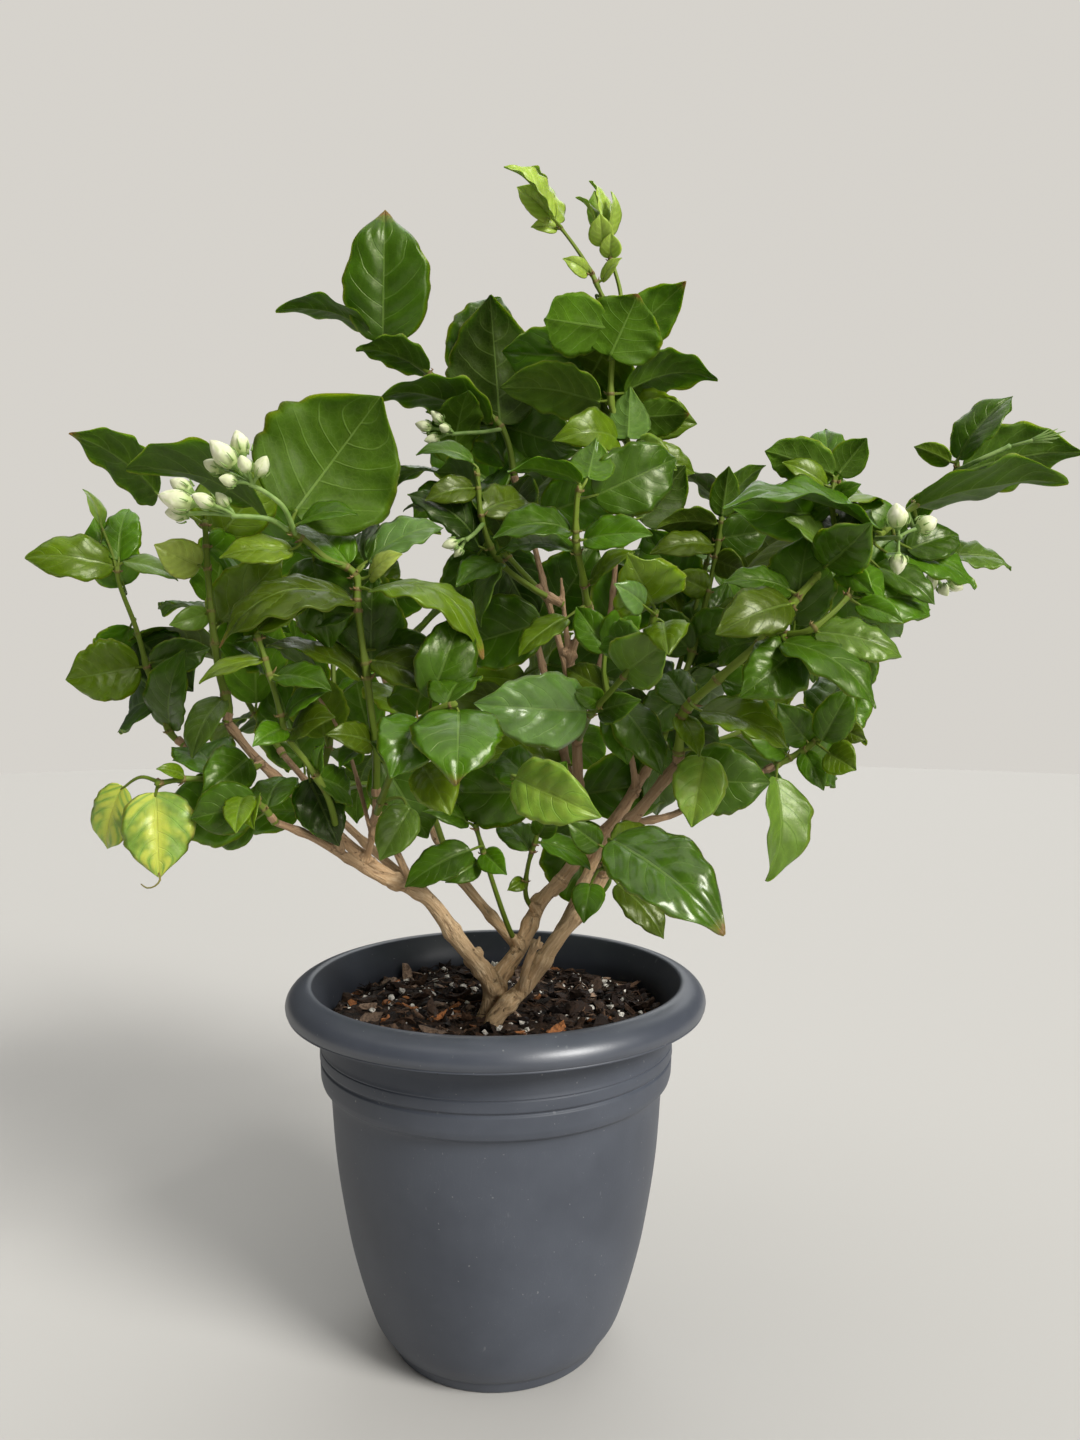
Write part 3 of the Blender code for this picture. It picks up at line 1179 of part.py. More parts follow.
def main():
    for item in list(bpy.data.objects):
        bpy.data.objects.remove(item, do_unlink=True)
    plant = bpy.data.collections.new("Potted jasmine")
    bpy.context.scene.collection.children.link(plant)
    cutters = make_pot(plant)
    soil = make_soil(plant, cutters)
    leaf_green = material("Leaf green", (0.055, 0.16, 0.030), 0.45)
    stalk_green = material("Stalk green", (0.16, 0.28, 0.07), 0.55)
    bud_cream = material("Bud cream", (0.80, 0.82, 0.58), 0.50)

    hidden = [(name, [Vector(point) for point in points], pairs, length, turn)
              for name, points, pairs, length, turn in HIDDEN_SHOOTS]
    spurs = [(shoot["name"], shoot["stem"], shoot["radius"][0] * SPUR_THICKER)
             for shoot in SHOOTS if shoot["on"] == "wood"]
    spurs += [(name, stem, HIDDEN_RADII[0] * SPUR_THICKER) for name, stem, _, _, _ in hidden]
    wood = make_wood(plant, spurs)

    solids = [("wood", object_tree(wood)), ("soil", object_tree(soil))]
    shoots = {}
    plans = {}
    for shoot in SHOOTS:
        twigs = shoot.get("twigs", ())
        name = shoot["name"]
        shoots[name] = shoot_stem(
            name, shoot["stem"], shoot["radius"], twigs, carried(name), plant, leaf_green)
        stems = [stem_after_spur(shoot["stem"], spur_length(shoot["stem"])), *twigs]
        plans[name] = [seen_leaf(item, stems) for item in shoot["leaves"]]
    for name, stem, pairs, length, turn in hidden:
        shoots[name] = shoot_stem(name, stem, HIDDEN_RADII, (), (), plant, leaf_green)
        plans[name] = grown_leaves(
            stem_after_spur(stem, spur_length(stem)), pairs, length, turn)
    cymes = [make_cyme(item, plant, stalk_green, bud_cream) for item in CYMES]
    for name, shoot in shoots.items():
        solids.append((name, object_tree(shoot)))
    for cyme in cymes:
        solids.append((cyme.name, object_tree(cyme)))

    placed = settle_leaves(plans, solids)
    for name, shoot in shoots.items():
        add_leaves(shoot, placed[name], leaf_green)


main()
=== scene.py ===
"""Looks of the potted jasmine: fine leaves, stems, bark, buds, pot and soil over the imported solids.

Metres, +Z up, origin on the floor at the pot's axis. As in the solids' source, the bush is
described by picture points (u, v) of one viewpoint and a depth y behind the pot's axis. The
tables give depths, radii and other lengths in millimetres.
"""
import itertools
import math
import random

import bmesh
import bpy
import numpy as np
from mathutils import Matrix, Vector, noise
from mathutils.kdtree import KDTree


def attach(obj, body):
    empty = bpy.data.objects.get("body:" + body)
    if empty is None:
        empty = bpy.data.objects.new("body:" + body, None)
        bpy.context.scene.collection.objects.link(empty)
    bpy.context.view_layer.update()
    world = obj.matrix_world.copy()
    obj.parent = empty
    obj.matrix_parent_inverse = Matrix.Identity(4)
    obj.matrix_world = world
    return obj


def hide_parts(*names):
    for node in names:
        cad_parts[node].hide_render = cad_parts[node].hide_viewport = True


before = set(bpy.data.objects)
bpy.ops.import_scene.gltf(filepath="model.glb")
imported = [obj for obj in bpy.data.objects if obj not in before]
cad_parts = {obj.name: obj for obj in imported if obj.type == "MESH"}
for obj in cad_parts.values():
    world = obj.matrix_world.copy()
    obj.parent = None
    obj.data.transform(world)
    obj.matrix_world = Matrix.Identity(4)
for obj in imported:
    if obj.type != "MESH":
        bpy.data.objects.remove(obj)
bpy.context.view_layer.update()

# Millimetres in a metre
PER_METRE = 1000.0

# Viewpoint of the picture points, which is the camera's too
EYE = Vector((0.025, -0.6242, 0.3845))
FOCAL = 1088.0
PICTURE_HEIGHT = 1440.0
PICTURE_MIDDLE = (540.0, 720.0)
PITCH = math.radians(2.55)
SENSOR = 36.0

# Leaf solids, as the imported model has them
SLIM = 0.60
LEAST_LENGTH = 1.12
STATIONS_BROAD = (0.10, 0.36, 0.64, 0.87)
STATIONS_NARROW = (0.14, 0.48, 0.82)
BROAD_LEAF = 0.047
WIDEST = 0.4256
TOP = 1
UNDER = -1
SPUR_TIP = 0.005
SPUR_SIDE = 0.011
SPUR_CYME = 0.0045
SPUR_STEP = 0.003
END_INSET = 0.0014
GAP = 0.0003
SAME_PLACE = 0.001
MATCH = 0.00003
STEM_SAMPLES = 8

# Hidden shoots: radii, and the stalk and width of their leaves
HIDDEN_RADII = (0.0020, 0.0013)
HIDDEN_STALK = 0.007
HIDDEN_WIDTH = 0.68

# Ways in which a leaf solid may have been bent clear of its neighbours
SIZES = (1.0, 0.86, 0.72)
SWINGS = (0.0, 10.0, -10.0, 22.0, -22.0)
SHIFTS = (0.0, 0.007, -0.007, 0.015, -0.015, 0.025, -0.025)
ROLLS = (0.0, 12.0, -12.0, 25.0, -25.0)

# Fine leaves: rows along and columns across, veins, margins and bends
SEED_STEP = 1.618
FINE_GRID = (42, 17)
SMALL_GRID = (30, 13)
BLADE_THICKNESS = 0.0004
VEIN_PAIRS = 5.2
VEIN_START = 0.16
VEIN_ARCH = 0.20
VEIN_UNEVEN = 0.22
VEIN_OFFSET = 0.30
SCALLOP = 0.050
SLOW_WAVE = 0.024
QUICK_WAVE = 0.014
LOPSIDED = 0.07
RIPPLE = 0.042
DROOP = 0.13
TIP_PINCH = 0.32
TIP_BEND = 0.035
WOBBLE = 0.0016
GROOVE = 0.0005
RIDGE = 0.0007
STALK_RADIUS = 0.0009
STALK_SIDES = 8
STEM_SIDES = 10
STEM_STEP = 0.0025
NODE_SWELLING = 0.38
NODE_LENGTH = 0.0028
FINE_STEP = 0.002
NODE_SPACING = 0.004
LARGE_LEAF = 0.055
CRISP_LEAF = 0.040

# Inner leaves: depth behind their stem, and their first number as a multiple of the shoots
DEEPER = 0.022
INNER_NUMBERS = 20

# Pot and soil, as in the solids: inner radius of the pot's plain wall at five heights
POT_HEIGHT = 0.209
POT_BODY = ((0.0, 0.0575), (0.024, 0.0708), (0.067, 0.0825), (0.141, 0.0920), (POT_HEIGHT, 0.0999))
FLOOR = 0.003
DRAIN_COUNT = 4
DRAIN_CIRCLE = 0.040
DRAIN_RADIUS = 0.005
POT_STEPS = 144
PLASTIC = ((0.055, 0.062, 0.079), (0.077, 0.086, 0.107))
SCUFF = (0.230, 0.240, 0.255)
DUST = (0.380, 0.380, 0.370)
RIM_RISE = (0.188, 0.202)
SHARP_EDGE = math.radians(48)
SOIL_LEVEL = 0.1865
SOIL_DOME = 0.004
SOIL_DOME_RADIUS = 0.1
SOIL_RINGS = 76
SOIL_SECTORS = 190

# Lumps of the soil's surface, coarse to fine: layer of the noise, scale and height
SOIL_LUMPS = ((SOIL_LEVEL, 55.0, 0.0035), (3.0, 150.0, 0.0022), (5.0, 420.0, 0.0010))

# Root crown and bark
CROWN = Vector((-0.002, -0.022, SOIL_LEVEL))
CROWN_RADIUS = 0.0072
SLIMMER = 0.86
CROWN_DEPTH = 0.020
CROWN_TAPER = 0.72
CROWN_TOP = Vector((0.001, 0.001, 0.016))
SPLINTER_RADII = (0.0016, 0.0007)
SPUR_SWELLING = (1.15, 1.35)
BRANCH_SIDES = 12
SCAR_SWELLING = 0.26
SCAR_WIDTH = 0.0032
BARK_UNEVEN = 0.10
BURR_LUMPS = 0.38
SCAR_SPACING = 0.031
BARK_VOXEL = 0.0009

# Flower buds and their calyces
BUD_WIDTH = 0.0100
BUD_STALK = (0.0007, 0.0010)
CYME_STALK = (0.0013, 0.0011)
CALYX_SIDES = 12
LOBE_SIDES = 5
LOBE_STEPS = 5
SPENT_RADII = (0.0006, 0.0006, 0.0005, 0.0004, 0.00015)
BUD_RINGS = 13
BUD_CORNERS = 20
PETALS = 5
SEPALS = 7
SPENT_LOBES = 8

# Litter on the soil; chips, and the rest, stay clear of the crown by two distances
LITTER_SEED = 11
CHIPS = 640
CHIP_LENGTH = (0.0016, 0.0060)
LARGE_CHIP = 0.0045
GRAINS = 250
GRAIN_SIZES = (0.0006, 0.0008, 0.0011, 0.0016, 0.0023)
FIBRES = 360
FIBRE_LENGTH = (0.005, 0.016)
FIBRE_RADIUS = (0.0003, 0.0008)
FIBRE_POINTS = 4
WALL_CLEAR = 0.003
CROWN_CLEAR = (0.009, 0.010)
CHIP_TONES = (
    (0.030, 0.017, 0.010), (0.064, 0.034, 0.019), (0.017, 0.010, 0.007), (0.130, 0.076, 0.046),
    (0.025, 0.014, 0.009), (0.044, 0.026, 0.017), (0.012, 0.008, 0.006), (0.210, 0.140, 0.095),
    (0.040, 0.021, 0.012), (0.022, 0.013, 0.009), (0.270, 0.105, 0.037), (0.015, 0.009, 0.007))
FIBRE_TONES = CHIP_TONES[:5]
GRAIN_TONE = (0.740, 0.700, 0.620)

# Room: floor, walls and lights with their place, spread in degrees, strength and colour
FLOOR_RADIUS = 4.0
FLOOR_SIDES = 96
FLOOR_TONE = (0.55, 0.535, 0.505, 1.0)
ROOM_TONE = (0.68, 0.70, 0.72, 1.0)
ROOM_LIGHT = 0.12
WALL_TONE = (0.672, 0.648, 0.605, 1.0)
LIGHTS = (
    ("window", (1.30, -1.20, 1.30), 22.0, 3.0, (1.0, 0.99, 0.965)),
    ("front", (1.05, -1.40, 0.62), 40.0, 0.84, (1.0, 0.99, 0.97)),
    ("ceiling", (-0.15, 0.20, 1.75), 80.0, 1.2, (1.0, 0.99, 0.97)),
    ("behind", (0.35, 1.30, 1.10), 50.0, 0.8, (0.97, 0.99, 1.0)),
)

# Colours of leaves and stems, linear
DEEP = (0.014, 0.036, 0.001)
DARK = (0.044, 0.105, 0.002)
MID = (0.064, 0.160, 0.002)
OLIVE = (0.060, 0.095, 0.002)
BRIGHT = (0.102, 0.172, 0.003)
LIGHT = (0.166, 0.280, 0.030)
YELLOW = (0.130, 0.200, 0.006)
GREY = (0.104, 0.185, 0.019)
# Green with a bluish silver sheen of reflected light painted into it: leaf colour and painted sheen
GREEN_WITH_PAINTED_SHEEN = (0.112, 0.218, 0.042)
PALE = (0.350, 0.420, 0.078)
GOLD = (0.230, 0.370, 0.060)
YOUNG = (0.350, 0.480, 0.065)

# Tones drawn for leaves that name none, and how patchy with yellow the leaves of a tone are
ORDINARY = (DARK, MID, DARK, OLIVE, MID, DEEP, BRIGHT)
PATCHY = {GOLD: 1.0, LIGHT: 0.15}

# Tones of stems, of their withered scales and of the rings at their nodes
STEM_TONE = (0.112, 0.172, 0.016)
YOUNG_STEM_TONE = (0.165, 0.240, 0.024)
YOUNG_STEMS = ("shoot_crest", "shoot_centre", "shoot_right", "shoot_right_outer")
SCALE_TONE = (0.300, 0.160, 0.085)
NODE_TONE = (0.180, 0.125, 0.050)

# Colours within a leaf, linear
UNDER_LEAF = (0.075, 0.125, 0.010)
VEIN_TONE = (0.270, 0.400, 0.090)
BETWEEN_VEINS = (0.010, 0.030, 0.002)
YELLOW_PATCH = (0.560, 0.580, 0.085)
DRY_TIP = (0.150, 0.066, 0.024)
DRY_EDGE = (0.300, 0.230, 0.035)

# Tint of the shine on leaves and on stems
LEAF_TINT = (0.95, 1.0, 0.55, 1.0)
STEM_TINT = (0.95, 1.0, 0.60, 1.0)

# Values at points that need none, and those of green stems
PLAIN = (0.0, 0.0, 0.0)
STEM_MARKS = (0.0, 0.0, 0.5)

UP = Vector((0.0, 0.0, 1.0))


def at(*place):
    """World point given in millimetres."""
    return Vector([part / PER_METRE for part in place])


def seen(u, v, y):
    """World point at depth y that is seen at the picture point (u, v)."""
    across = (u - PICTURE_MIDDLE[0]) / FOCAL
    rise = (PICTURE_MIDDLE[1] - v) / FOCAL
    forward = math.cos(PITCH) + rise * math.sin(PITCH)
    upward = rise * math.cos(PITCH) - math.sin(PITCH)
    reach = (y - EYE.y) / forward
    return Vector((EYE.x + reach * across, y, EYE.z + reach * upward))


def picture_point(point):
    """Picture point at which a world point is seen."""
    offset = point - EYE
    depth = offset.y * math.cos(PITCH) - offset.z * math.sin(PITCH)
    rise = offset.y * math.sin(PITCH) + offset.z * math.cos(PITCH)
    return PICTURE_MIDDLE[0] + FOCAL * offset.x / depth, PICTURE_MIDDLE[1] - FOCAL * rise / depth


def path(*places):
    """World points of a stem from world points, or picture points with depths in millimetres."""
    return [place if isinstance(place, Vector) else seen(*place[:2], place[2] / PER_METRE)
            for place in places]


def leaf(u0, v0, u1, v1, width, lean=None, tone=None, y=None, side=TOP, arch=0.10, fold=0.14,
         wave=0.05, brown=0.0, gloss=0.0, heart=0.25):
    """A leaf seen from blade base (u0, v0) to tip (u1, v1), `width` picture points wide.

    y is the base's depth (the stem's where none is given) and lean is how far the tip comes
    towards the viewpoint, in millimetres. arch, fold, wave and heart are parts of the length or
    width. brown is how withered the tip is and gloss how waxy the leaf is, from 0 to 1.
    """
    depth, lean = (value if value is None else value / PER_METRE for value in (y, lean))
    return dict(
        base=(u0, v0), tip=(u1, v1), width=width, y=depth, lean=lean, side=side,
        arch=arch, fold=fold, wave=wave, tone=tone, brown=brown, gloss=gloss, heart=heart)


def shoot(name, carrier, radii, stem, *parts):
    """A leafy shoot: its carrier, first and last radius in millimetres, stem, twigs and leaves."""
    twigs = [part for part in parts if isinstance(part, list)]
    leaves = [part for part in parts if isinstance(part, dict)]
    return name, carrier, [radius / PER_METRE for radius in radii], stem, twigs, leaves


# Woody branches: name, points, and the first and last radius
WOOD = (
    ("left", path((486, 1026, -22), (490, 1004, -22), (491, 985, -23), (482, 970, -25), (457, 938, -35),
        (427, 898, -45), (396, 881, -50)), 6.2, 4.4),
    ("left_upper", path((398, 882, -50), (358, 853, -55), (310, 808, -62), (255, 757, -68),
        (227, 722, -70)), 4, 2.6),
    ("left_lower", path((404, 885, -49), (379, 877, -60), (344, 856, -80), (310, 836, -92),
        (275, 822, -100)), 3.3, 2.2),
    ("left_stub", path((414, 890, -46), (404, 868, -40), (397, 853, -36)), 3, 2.6),
    ("left_twig", path((366, 861, -54), (373, 832, -66), (376, 797, -80)), 2.4, 2),
    ("left_reach", path((258, 760, -68), (238, 768, -45), (214, 756, -18), (184, 745, 0)), 2.2, 1.8),
    ("left_spike", path((372, 836, -65), (350, 755, -52), (334, 721, -48), (319, 698, -46)), 1.6, 1.2),
    ("middle", path((494, 1000, -22), (500, 978, -20), (519, 949, -12), (536, 911, 0), (546, 895, 4),
        (561, 881, 8), (581, 846, 15), (578, 812, 20), (577, 747, 20), (572, 695, 15),
        (570, 650, 10)), 5.8, 3),
    ("middle_bare", path((570, 655, 10), (566, 630, 8), (561, 578, 4)), 2.4, 1.2),
    ("middle_fork", path((570, 660, 10), (577, 638, 5), (590, 612, -6)), 2.6, 2),
    ("middle_back", path((572, 690, 16), (548, 600, 40), (530, 530, 52), (516, 484, 55)), 2.6, 2),
    ("middle_rise", path((575, 735, 20), (604, 650, 40), (612, 600, 44), (616, 560, 40)), 2.6, 2),
    ("right", path((489, 1034, -31), (496, 1017, -33), (511, 1000, -32), (527, 984, -29), (560, 935, -30),
        (574, 919, -31), (600, 880, -35), (626, 826, -40), (640, 810, -45), (678, 763, -50)), 6, 3.4),
    ("right_second", path((563, 878, 8), (586, 850, 2), (612, 822, -8), (633, 791, -12),
        (660, 750, -14)), 4, 2.8),
    ("right_twig", path((636, 789, -12), (631, 757, -20), (619, 722, -28)), 2.4, 1.8),
    ("right_low", path((628, 824, -40), (672, 815, -20), (700, 800, -5), (735, 785, 2),
        (766, 770, 4)), 2.6, 1.9),
    ("broken_stub", path((520, 995, -30), (526, 968, -40), (536, 942, -46)), 3, 2.6),
    ("back_left", path((519, 949, -12), at(-30, 24, 272), at(-58, 58, 330), at(-78, 88, 384)), 4, 2.4),
    ("back_middle", path((578, 812, 20), at(36, 55, 350), at(22, 90, 408), at(14, 110, 452)), 3.6, 2.2),
    ("back_right", path((560, 935, -30), at(66, 16, 290), at(104, 62, 336), at(130, 92, 380)), 4, 2.4),
    ("side_left", path((427, 898, -45), at(-90, -2, 300), at(-130, 32, 334)), 3.2, 2.2),
)

# Knots and small burrs on the wood: picture point, depth and radius
KNOTS = ((493, 983, -23, 9), (396, 881, -50, 6.4), (581, 846, 15, 6.6))
BURRS = ((470, 962, -20, 4.4), (511, 958, -18, 3.4), (487, 968, -16, 4.2), (478, 952, -26, 4),
         (537, 900, 4, 5), (553, 890, 8, 4.4), (571, 655, 10, 4.6), (563, 652, 8, 3), (645, 772, -14, 3.6),
         (633, 792, -12, 4), (419, 890, -46, 4.6), (372, 862, -54, 3.6))

# Splinters of the broken stub
SPLINTERS = (
    path((534, 947, -45), (533, 938, -45)),
    path((537, 946, -47), (540, 936, -48)),
    path((539, 948, -46), (543, 942, -45)),
)

# Withered thread at the tip of the pale leaf, and the shoot that bears it
TENDRIL_SHOOT = "shoot_left_drop"
TENDRIL = path((159, 873, -119), (160, 880, -121), (155, 886, -122), (147, 888, -122), (141, 884, -121))

# Leafy shoots seen from the viewpoint
SHOOTS = (
    shoot("shoot_left_far", "wood", (2, 1.2), path((184, 745, 0), (172, 735, 0), (164, 718, 0),
             (147, 667, 0), (136, 628, -5), (119, 583, -10), (117, 567, -12)),
        leaf(113, 566, 24, 557, 45, 12, BRIGHT, arch=0.16, wave=0.12),
        leaf(119, 560, 128, 507, 35, -18, MID, wave=0.12),
        leaf(101, 524, 84, 488, 14, None, LIGHT, wave=0.1), leaf(124, 561, 179, 580, 20, -10, GREY),
        leaf(139, 667, 65, 680, 62, 12, BRIGHT, arch=0.06), leaf(151, 663, 210, 648, 38, -12, DARK),
        leaf(170, 728, 183, 650, 42, 16, DARK), leaf(160, 700, 128, 722, 36, -46, DARK)),
    shoot("shoot_left_tall", "wood", (2.1, 1.4), path((227, 722, -70), (229, 708, -70), (220, 676, -66),
             (212, 621, -60), (207, 560, -55), (205, 521, -50)),
        leaf(158, 494, 72, 432, 52, -6, DARK, y=-42, side=UNDER, arch=0.12, brown=1.0),
        leaf(200, 566, 155, 545, 40, 20, PALE), leaf(208, 613, 170, 625, 25, 14, GREY),
        leaf(222, 698, 190, 757, 35, 16, GREY), leaf(216, 640, 262, 668, 34, -44),
        leaf(207, 545, 246, 582, 36, -46)),
    shoot("shoot_left_front", "wood", (2.1, 1.4), path((376, 797, -80), (376, 743, -90), (372, 719, -92),
             (367, 678, -94), (362, 643, -95), (357, 600, -95), (355, 574, -95), (326, 558, -100),
             (306, 541, -102), (287, 530, -105)),
        leaf(294, 513, 380, 397, 150, -8, DARK, side=UNDER, fold=0.04, wave=0.03),
        leaf(300, 522, 357, 512, 20, 10, DARK), leaf(348, 564, 296, 523, 45, -24, MID),
        # The first leaf below has a silver sheen painted into its colour
        leaf(368, 560, 443, 525, 35, -10, GREEN_WITH_PAINTED_SHEEN), leaf(366, 563, 367, 530, 35, -36, DARK),
        leaf(369, 577, 401, 553, 20, 12, PALE),
        leaf(353, 600, 217, 643, 45, 22, OLIVE, arch=0.24, fold=0.05, brown=1.0),
        leaf(352, 614, 312, 623, 28, -22, DARK), leaf(361, 680, 266, 644, 25, -6, OLIVE, arch=0.12),
        leaf(374, 660, 453, 698, 45, 4, OLIVE, arch=0.14), leaf(372, 743, 328, 733, 28, 20, OLIVE),
        leaf(366, 744, 338, 767, 18, 16, MID), leaf(268, 519, 129, 463, 35, -24, DARK, y=-98, side=UNDER),
        leaf(292, 551, 219, 556, 30, 12, YELLOW, wave=0.08),
        leaf(372, 590, 486, 655, 30, 6, BRIGHT, y=-98, arch=0.26, fold=0.05, brown=1.0)),
    shoot("shoot_left_inner", "wood", (1.8, 1.2), path((341, 854, -81), (329, 800, -103), (310, 767, -108),
             (285, 734, -113), (281, 715, -115), (268, 669, -117), (257, 634, -118)),
        leaf(258, 629, 310, 590, 25, 6, BRIGHT), leaf(262, 660, 198, 682, 18, 10, YELLOW),
        leaf(276, 676, 331, 688, 25, 12, DARK), leaf(286, 715, 327, 689, 22, 16, MID),
        leaf(292, 730, 334, 716, 40, 24, OLIVE), leaf(284, 728, 253, 745, 26, 20, MID),
        leaf(318, 772, 322, 745, 15, 8), leaf(318, 778, 352, 800, 28, -30)),
    shoot("shoot_left_drop", "wood", (1.8, 1.2), path((262, 763, -67), (248, 770, -82), (215, 778, -92),
             (183, 779, -100), (156, 784, -106)),
        leaf(155, 793, 159, 877, 71, 14, GOLD, arch=0.08, fold=0.06),
        leaf(122, 786, 105, 850, 40, -12, GOLD, y=-98), leaf(248, 758, 203, 795, 50, 26, DARK, y=-88),
        leaf(245, 776, 245, 797, 15, 10, MID), leaf(184, 775, 157, 768, 15, 10),
        leaf(215, 774, 190, 748, 34, -44)),
    shoot("shoot_left_low", "wood", (1.7, 1.2), path((275, 822, -100), (264, 808, -106), (250, 798, -112)),
        leaf(256, 803, 190, 819, 54, 4, DARK, arch=0.08), leaf(244, 796, 235, 831, 30, 22, BRIGHT),
        leaf(256, 797, 252, 828, 18, 18, BRIGHT), leaf(266, 808, 290, 778, 32, -34)),
    shoot("shoot_front_left", "wood", (1.9, 1.3), path((374, 822, -70), (388, 782, -105), (408, 738, -125),
             (430, 712, -134), (456, 704, -138)),
        leaf(418, 719, 392, 776, 68, 26, MID, y=-132, arch=0.12, gloss=0.6),
        leaf(424, 765, 450, 814, 50, 18, YELLOW, y=-124),
        leaf(459, 710, 457, 783, 90, 34, MID, arch=0.12, fold=0.1, brown=0.7, gloss=0.4),
        leaf(410, 808, 380, 860, 42, 12, GREY, y=-104), leaf(400, 752, 372, 742, 34, 20, DARK),
        leaf(446, 704, 470, 684, 34, -40)),
    shoot("shoot_top_left", "wood", (2, 1.3), path((516, 484, 55), (503, 430, 48), (474, 405, 46),
             (433, 376, 45), (400, 354, 48), (370, 336, 50)),
        leaf(383, 341, 385, 208, 85, 4, DARK, arch=0.06, fold=0.1, wave=0.08, brown=1.0),
        leaf(370, 334, 276, 308, 25, 8, DARK, side=UNDER, arch=0.14),
        leaf(428, 372, 356, 347, 30, 14, DARK, side=UNDER),
        leaf(488, 424, 378, 395, 32, 30, DARK, side=UNDER, arch=0.14),
        leaf(500, 424, 490, 297, 95, -10, DEEP, side=UNDER, arch=0.08),
        leaf(499, 368, 433, 357, 25, 6, BRIGHT, y=34, arch=0.26),
        leaf(496, 432, 428, 410, 40, -20, MID, side=UNDER), leaf(512, 470, 556, 446, 40, -40)),
    shoot("shoot_middle_left", "wood", (2, 1.2), path((562, 604, 6), (532, 588, -4), (498, 560, -14),
             (482, 520, -20), (477, 470, -22)),
        leaf(473, 462, 416, 452, 16, 6, DARK, arch=0.14), leaf(474, 488, 425, 499, 28, 12, OLIVE),
        leaf(480, 548, 408, 491, 34, 18, DEEP, arch=0.14, wave=0.1), leaf(500, 562, 456, 584, 26, 22, MID),
        leaf(496, 566, 478, 628, 26, 24, GREY), leaf(482, 512, 530, 500, 34, -30),
        leaf(480, 492, 440, 470, 36, -44, side=UNDER)),
    shoot("shoot_centre", "wood", (2.1, 1.5), path((590, 612, -6), (586, 598, -16), (583, 578, -26),
             (576, 540, -40), (577, 499, -46), (580, 486, -47)),
        leaf(588, 478, 596, 440, 48, -24, MID, side=UNDER, gloss=0.7),
        leaf(580, 482, 507, 469, 22, 14, MID, side=UNDER),
        leaf(571, 531, 493, 535, 32, 12, DARK, arch=0.16), leaf(572, 550, 495, 552, 22, -14, DARK),
        leaf(584, 540, 652, 533, 35, 14, MID), leaf(590, 581, 633, 550, 20, 16, BRIGHT),
        leaf(566, 618, 518, 655, 27, 12, BRIGHT, y=-20)),
    shoot("shoot_crest", "wood", (2.3, 1.5), path((616, 560, 40), (628, 523, 32), (633, 464, 24),
             (622, 430, 18), (612, 408, 14), (611, 380, 12), (614, 341, 10), (617, 314, 10)),
        path((617, 316, 10), (603, 297, 8), (590, 270, 6), (576, 248, 4), (558, 224, 2)),
        path((617, 318, 10), (621, 298, 14), (614, 268, 18), (607, 250, 18), (603, 233, 18)),
        leaf(620, 344, 686, 282, 52, 4, MID, y=6, side=UNDER, arch=0.16, brown=1.0),
        leaf(607, 346, 574, 407, 100, -28, BRIGHT, y=16, side=UNDER, arch=0.06),
        leaf(606, 328, 542, 318, 60, 34, MID, y=0, side=UNDER),
        leaf(624, 393, 717, 377, 38, -10, DARK, side=UNDER, arch=0.16),
        leaf(634, 418, 690, 414, 38, 10, DARK, side=UNDER, brown=1.0),
        # The next leaf has a silver sheen painted into its colour
        leaf(628, 438, 630, 389, 45, -22, GREEN_WITH_PAINTED_SHEEN, y=-2, side=UNDER),
        leaf(618, 440, 553, 440, 40, 22, BRIGHT, y=2, arch=0.2),
        leaf(634, 446, 677, 470, 36, 10, LIGHT, y=6, arch=0.3),
        leaf(600, 402, 500, 386, 55, -12, GREY, side=UNDER),
        leaf(640, 520, 685, 466, 65, -10, DEEP, side=UNDER), leaf(612, 418, 560, 412, 34, -36, side=UNDER),
        leaf(588, 274, 563, 258, 17, 8, YOUNG, arch=0.18), leaf(602, 281, 621, 257, 12, 8, YOUNG),
        leaf(557, 229, 531, 226, 13, 4, YOUNG), leaf(554, 220, 517, 186, 26, 4, YOUNG, fold=0.3),
        leaf(553, 218, 506, 165, 12, 6, YOUNG, y=-4, fold=0.3),
        leaf(556, 222, 523, 166, 12, -6, YOUNG, y=8, fold=0.3), leaf(610, 258, 611, 233, 22, 8, YOUNG),
        leaf(603, 246, 600, 214, 25, 10, YOUNG), leaf(602, 232, 592, 179, 13, -4, YOUNG, fold=0.35),
        leaf(600, 236, 577, 195, 13, 2, YOUNG, fold=0.35),
        leaf(606, 236, 613, 191, 13, 2, YOUNG, fold=0.35)),
    shoot("shoot_front_middle", "wood", (2, 1.3), path((577, 742, 20), (584, 728, -20), (592, 712, -60),
             (612, 690, -86), (636, 660, -102), (650, 628, -110), (656, 610, -112)),
        # The next leaf has a silver sheen painted into its colour
        leaf(586, 712, 475, 704, 75, 26, GREEN_WITH_PAINTED_SHEEN, y=-72, arch=0.12, gloss=0.9),
        leaf(600, 703, 573, 690, 25, 14, DARK), leaf(598, 712, 640, 700, 32, 18, DARK),
        leaf(624, 673, 668, 640, 60, 26, GREY), leaf(646, 658, 640, 692, 24, 14, DARK),
        leaf(654, 605, 628, 556, 75, 30, BRIGHT, arch=0.14), leaf(664, 622, 668, 652, 46, 30, BRIGHT),
        # The next leaf has a silver sheen painted into its colour
        leaf(644, 606, 616, 584, 30, 18, GREEN_WITH_PAINTED_SHEEN, y=-126, gloss=0.7), leaf(640, 652, 606, 634, 44, -30)),
    shoot("shoot_front_low", "wood", (1.7, 1.2), path((578, 808, 20), (560, 797, -30), (536, 786, -74),
             (512, 776, -98)),
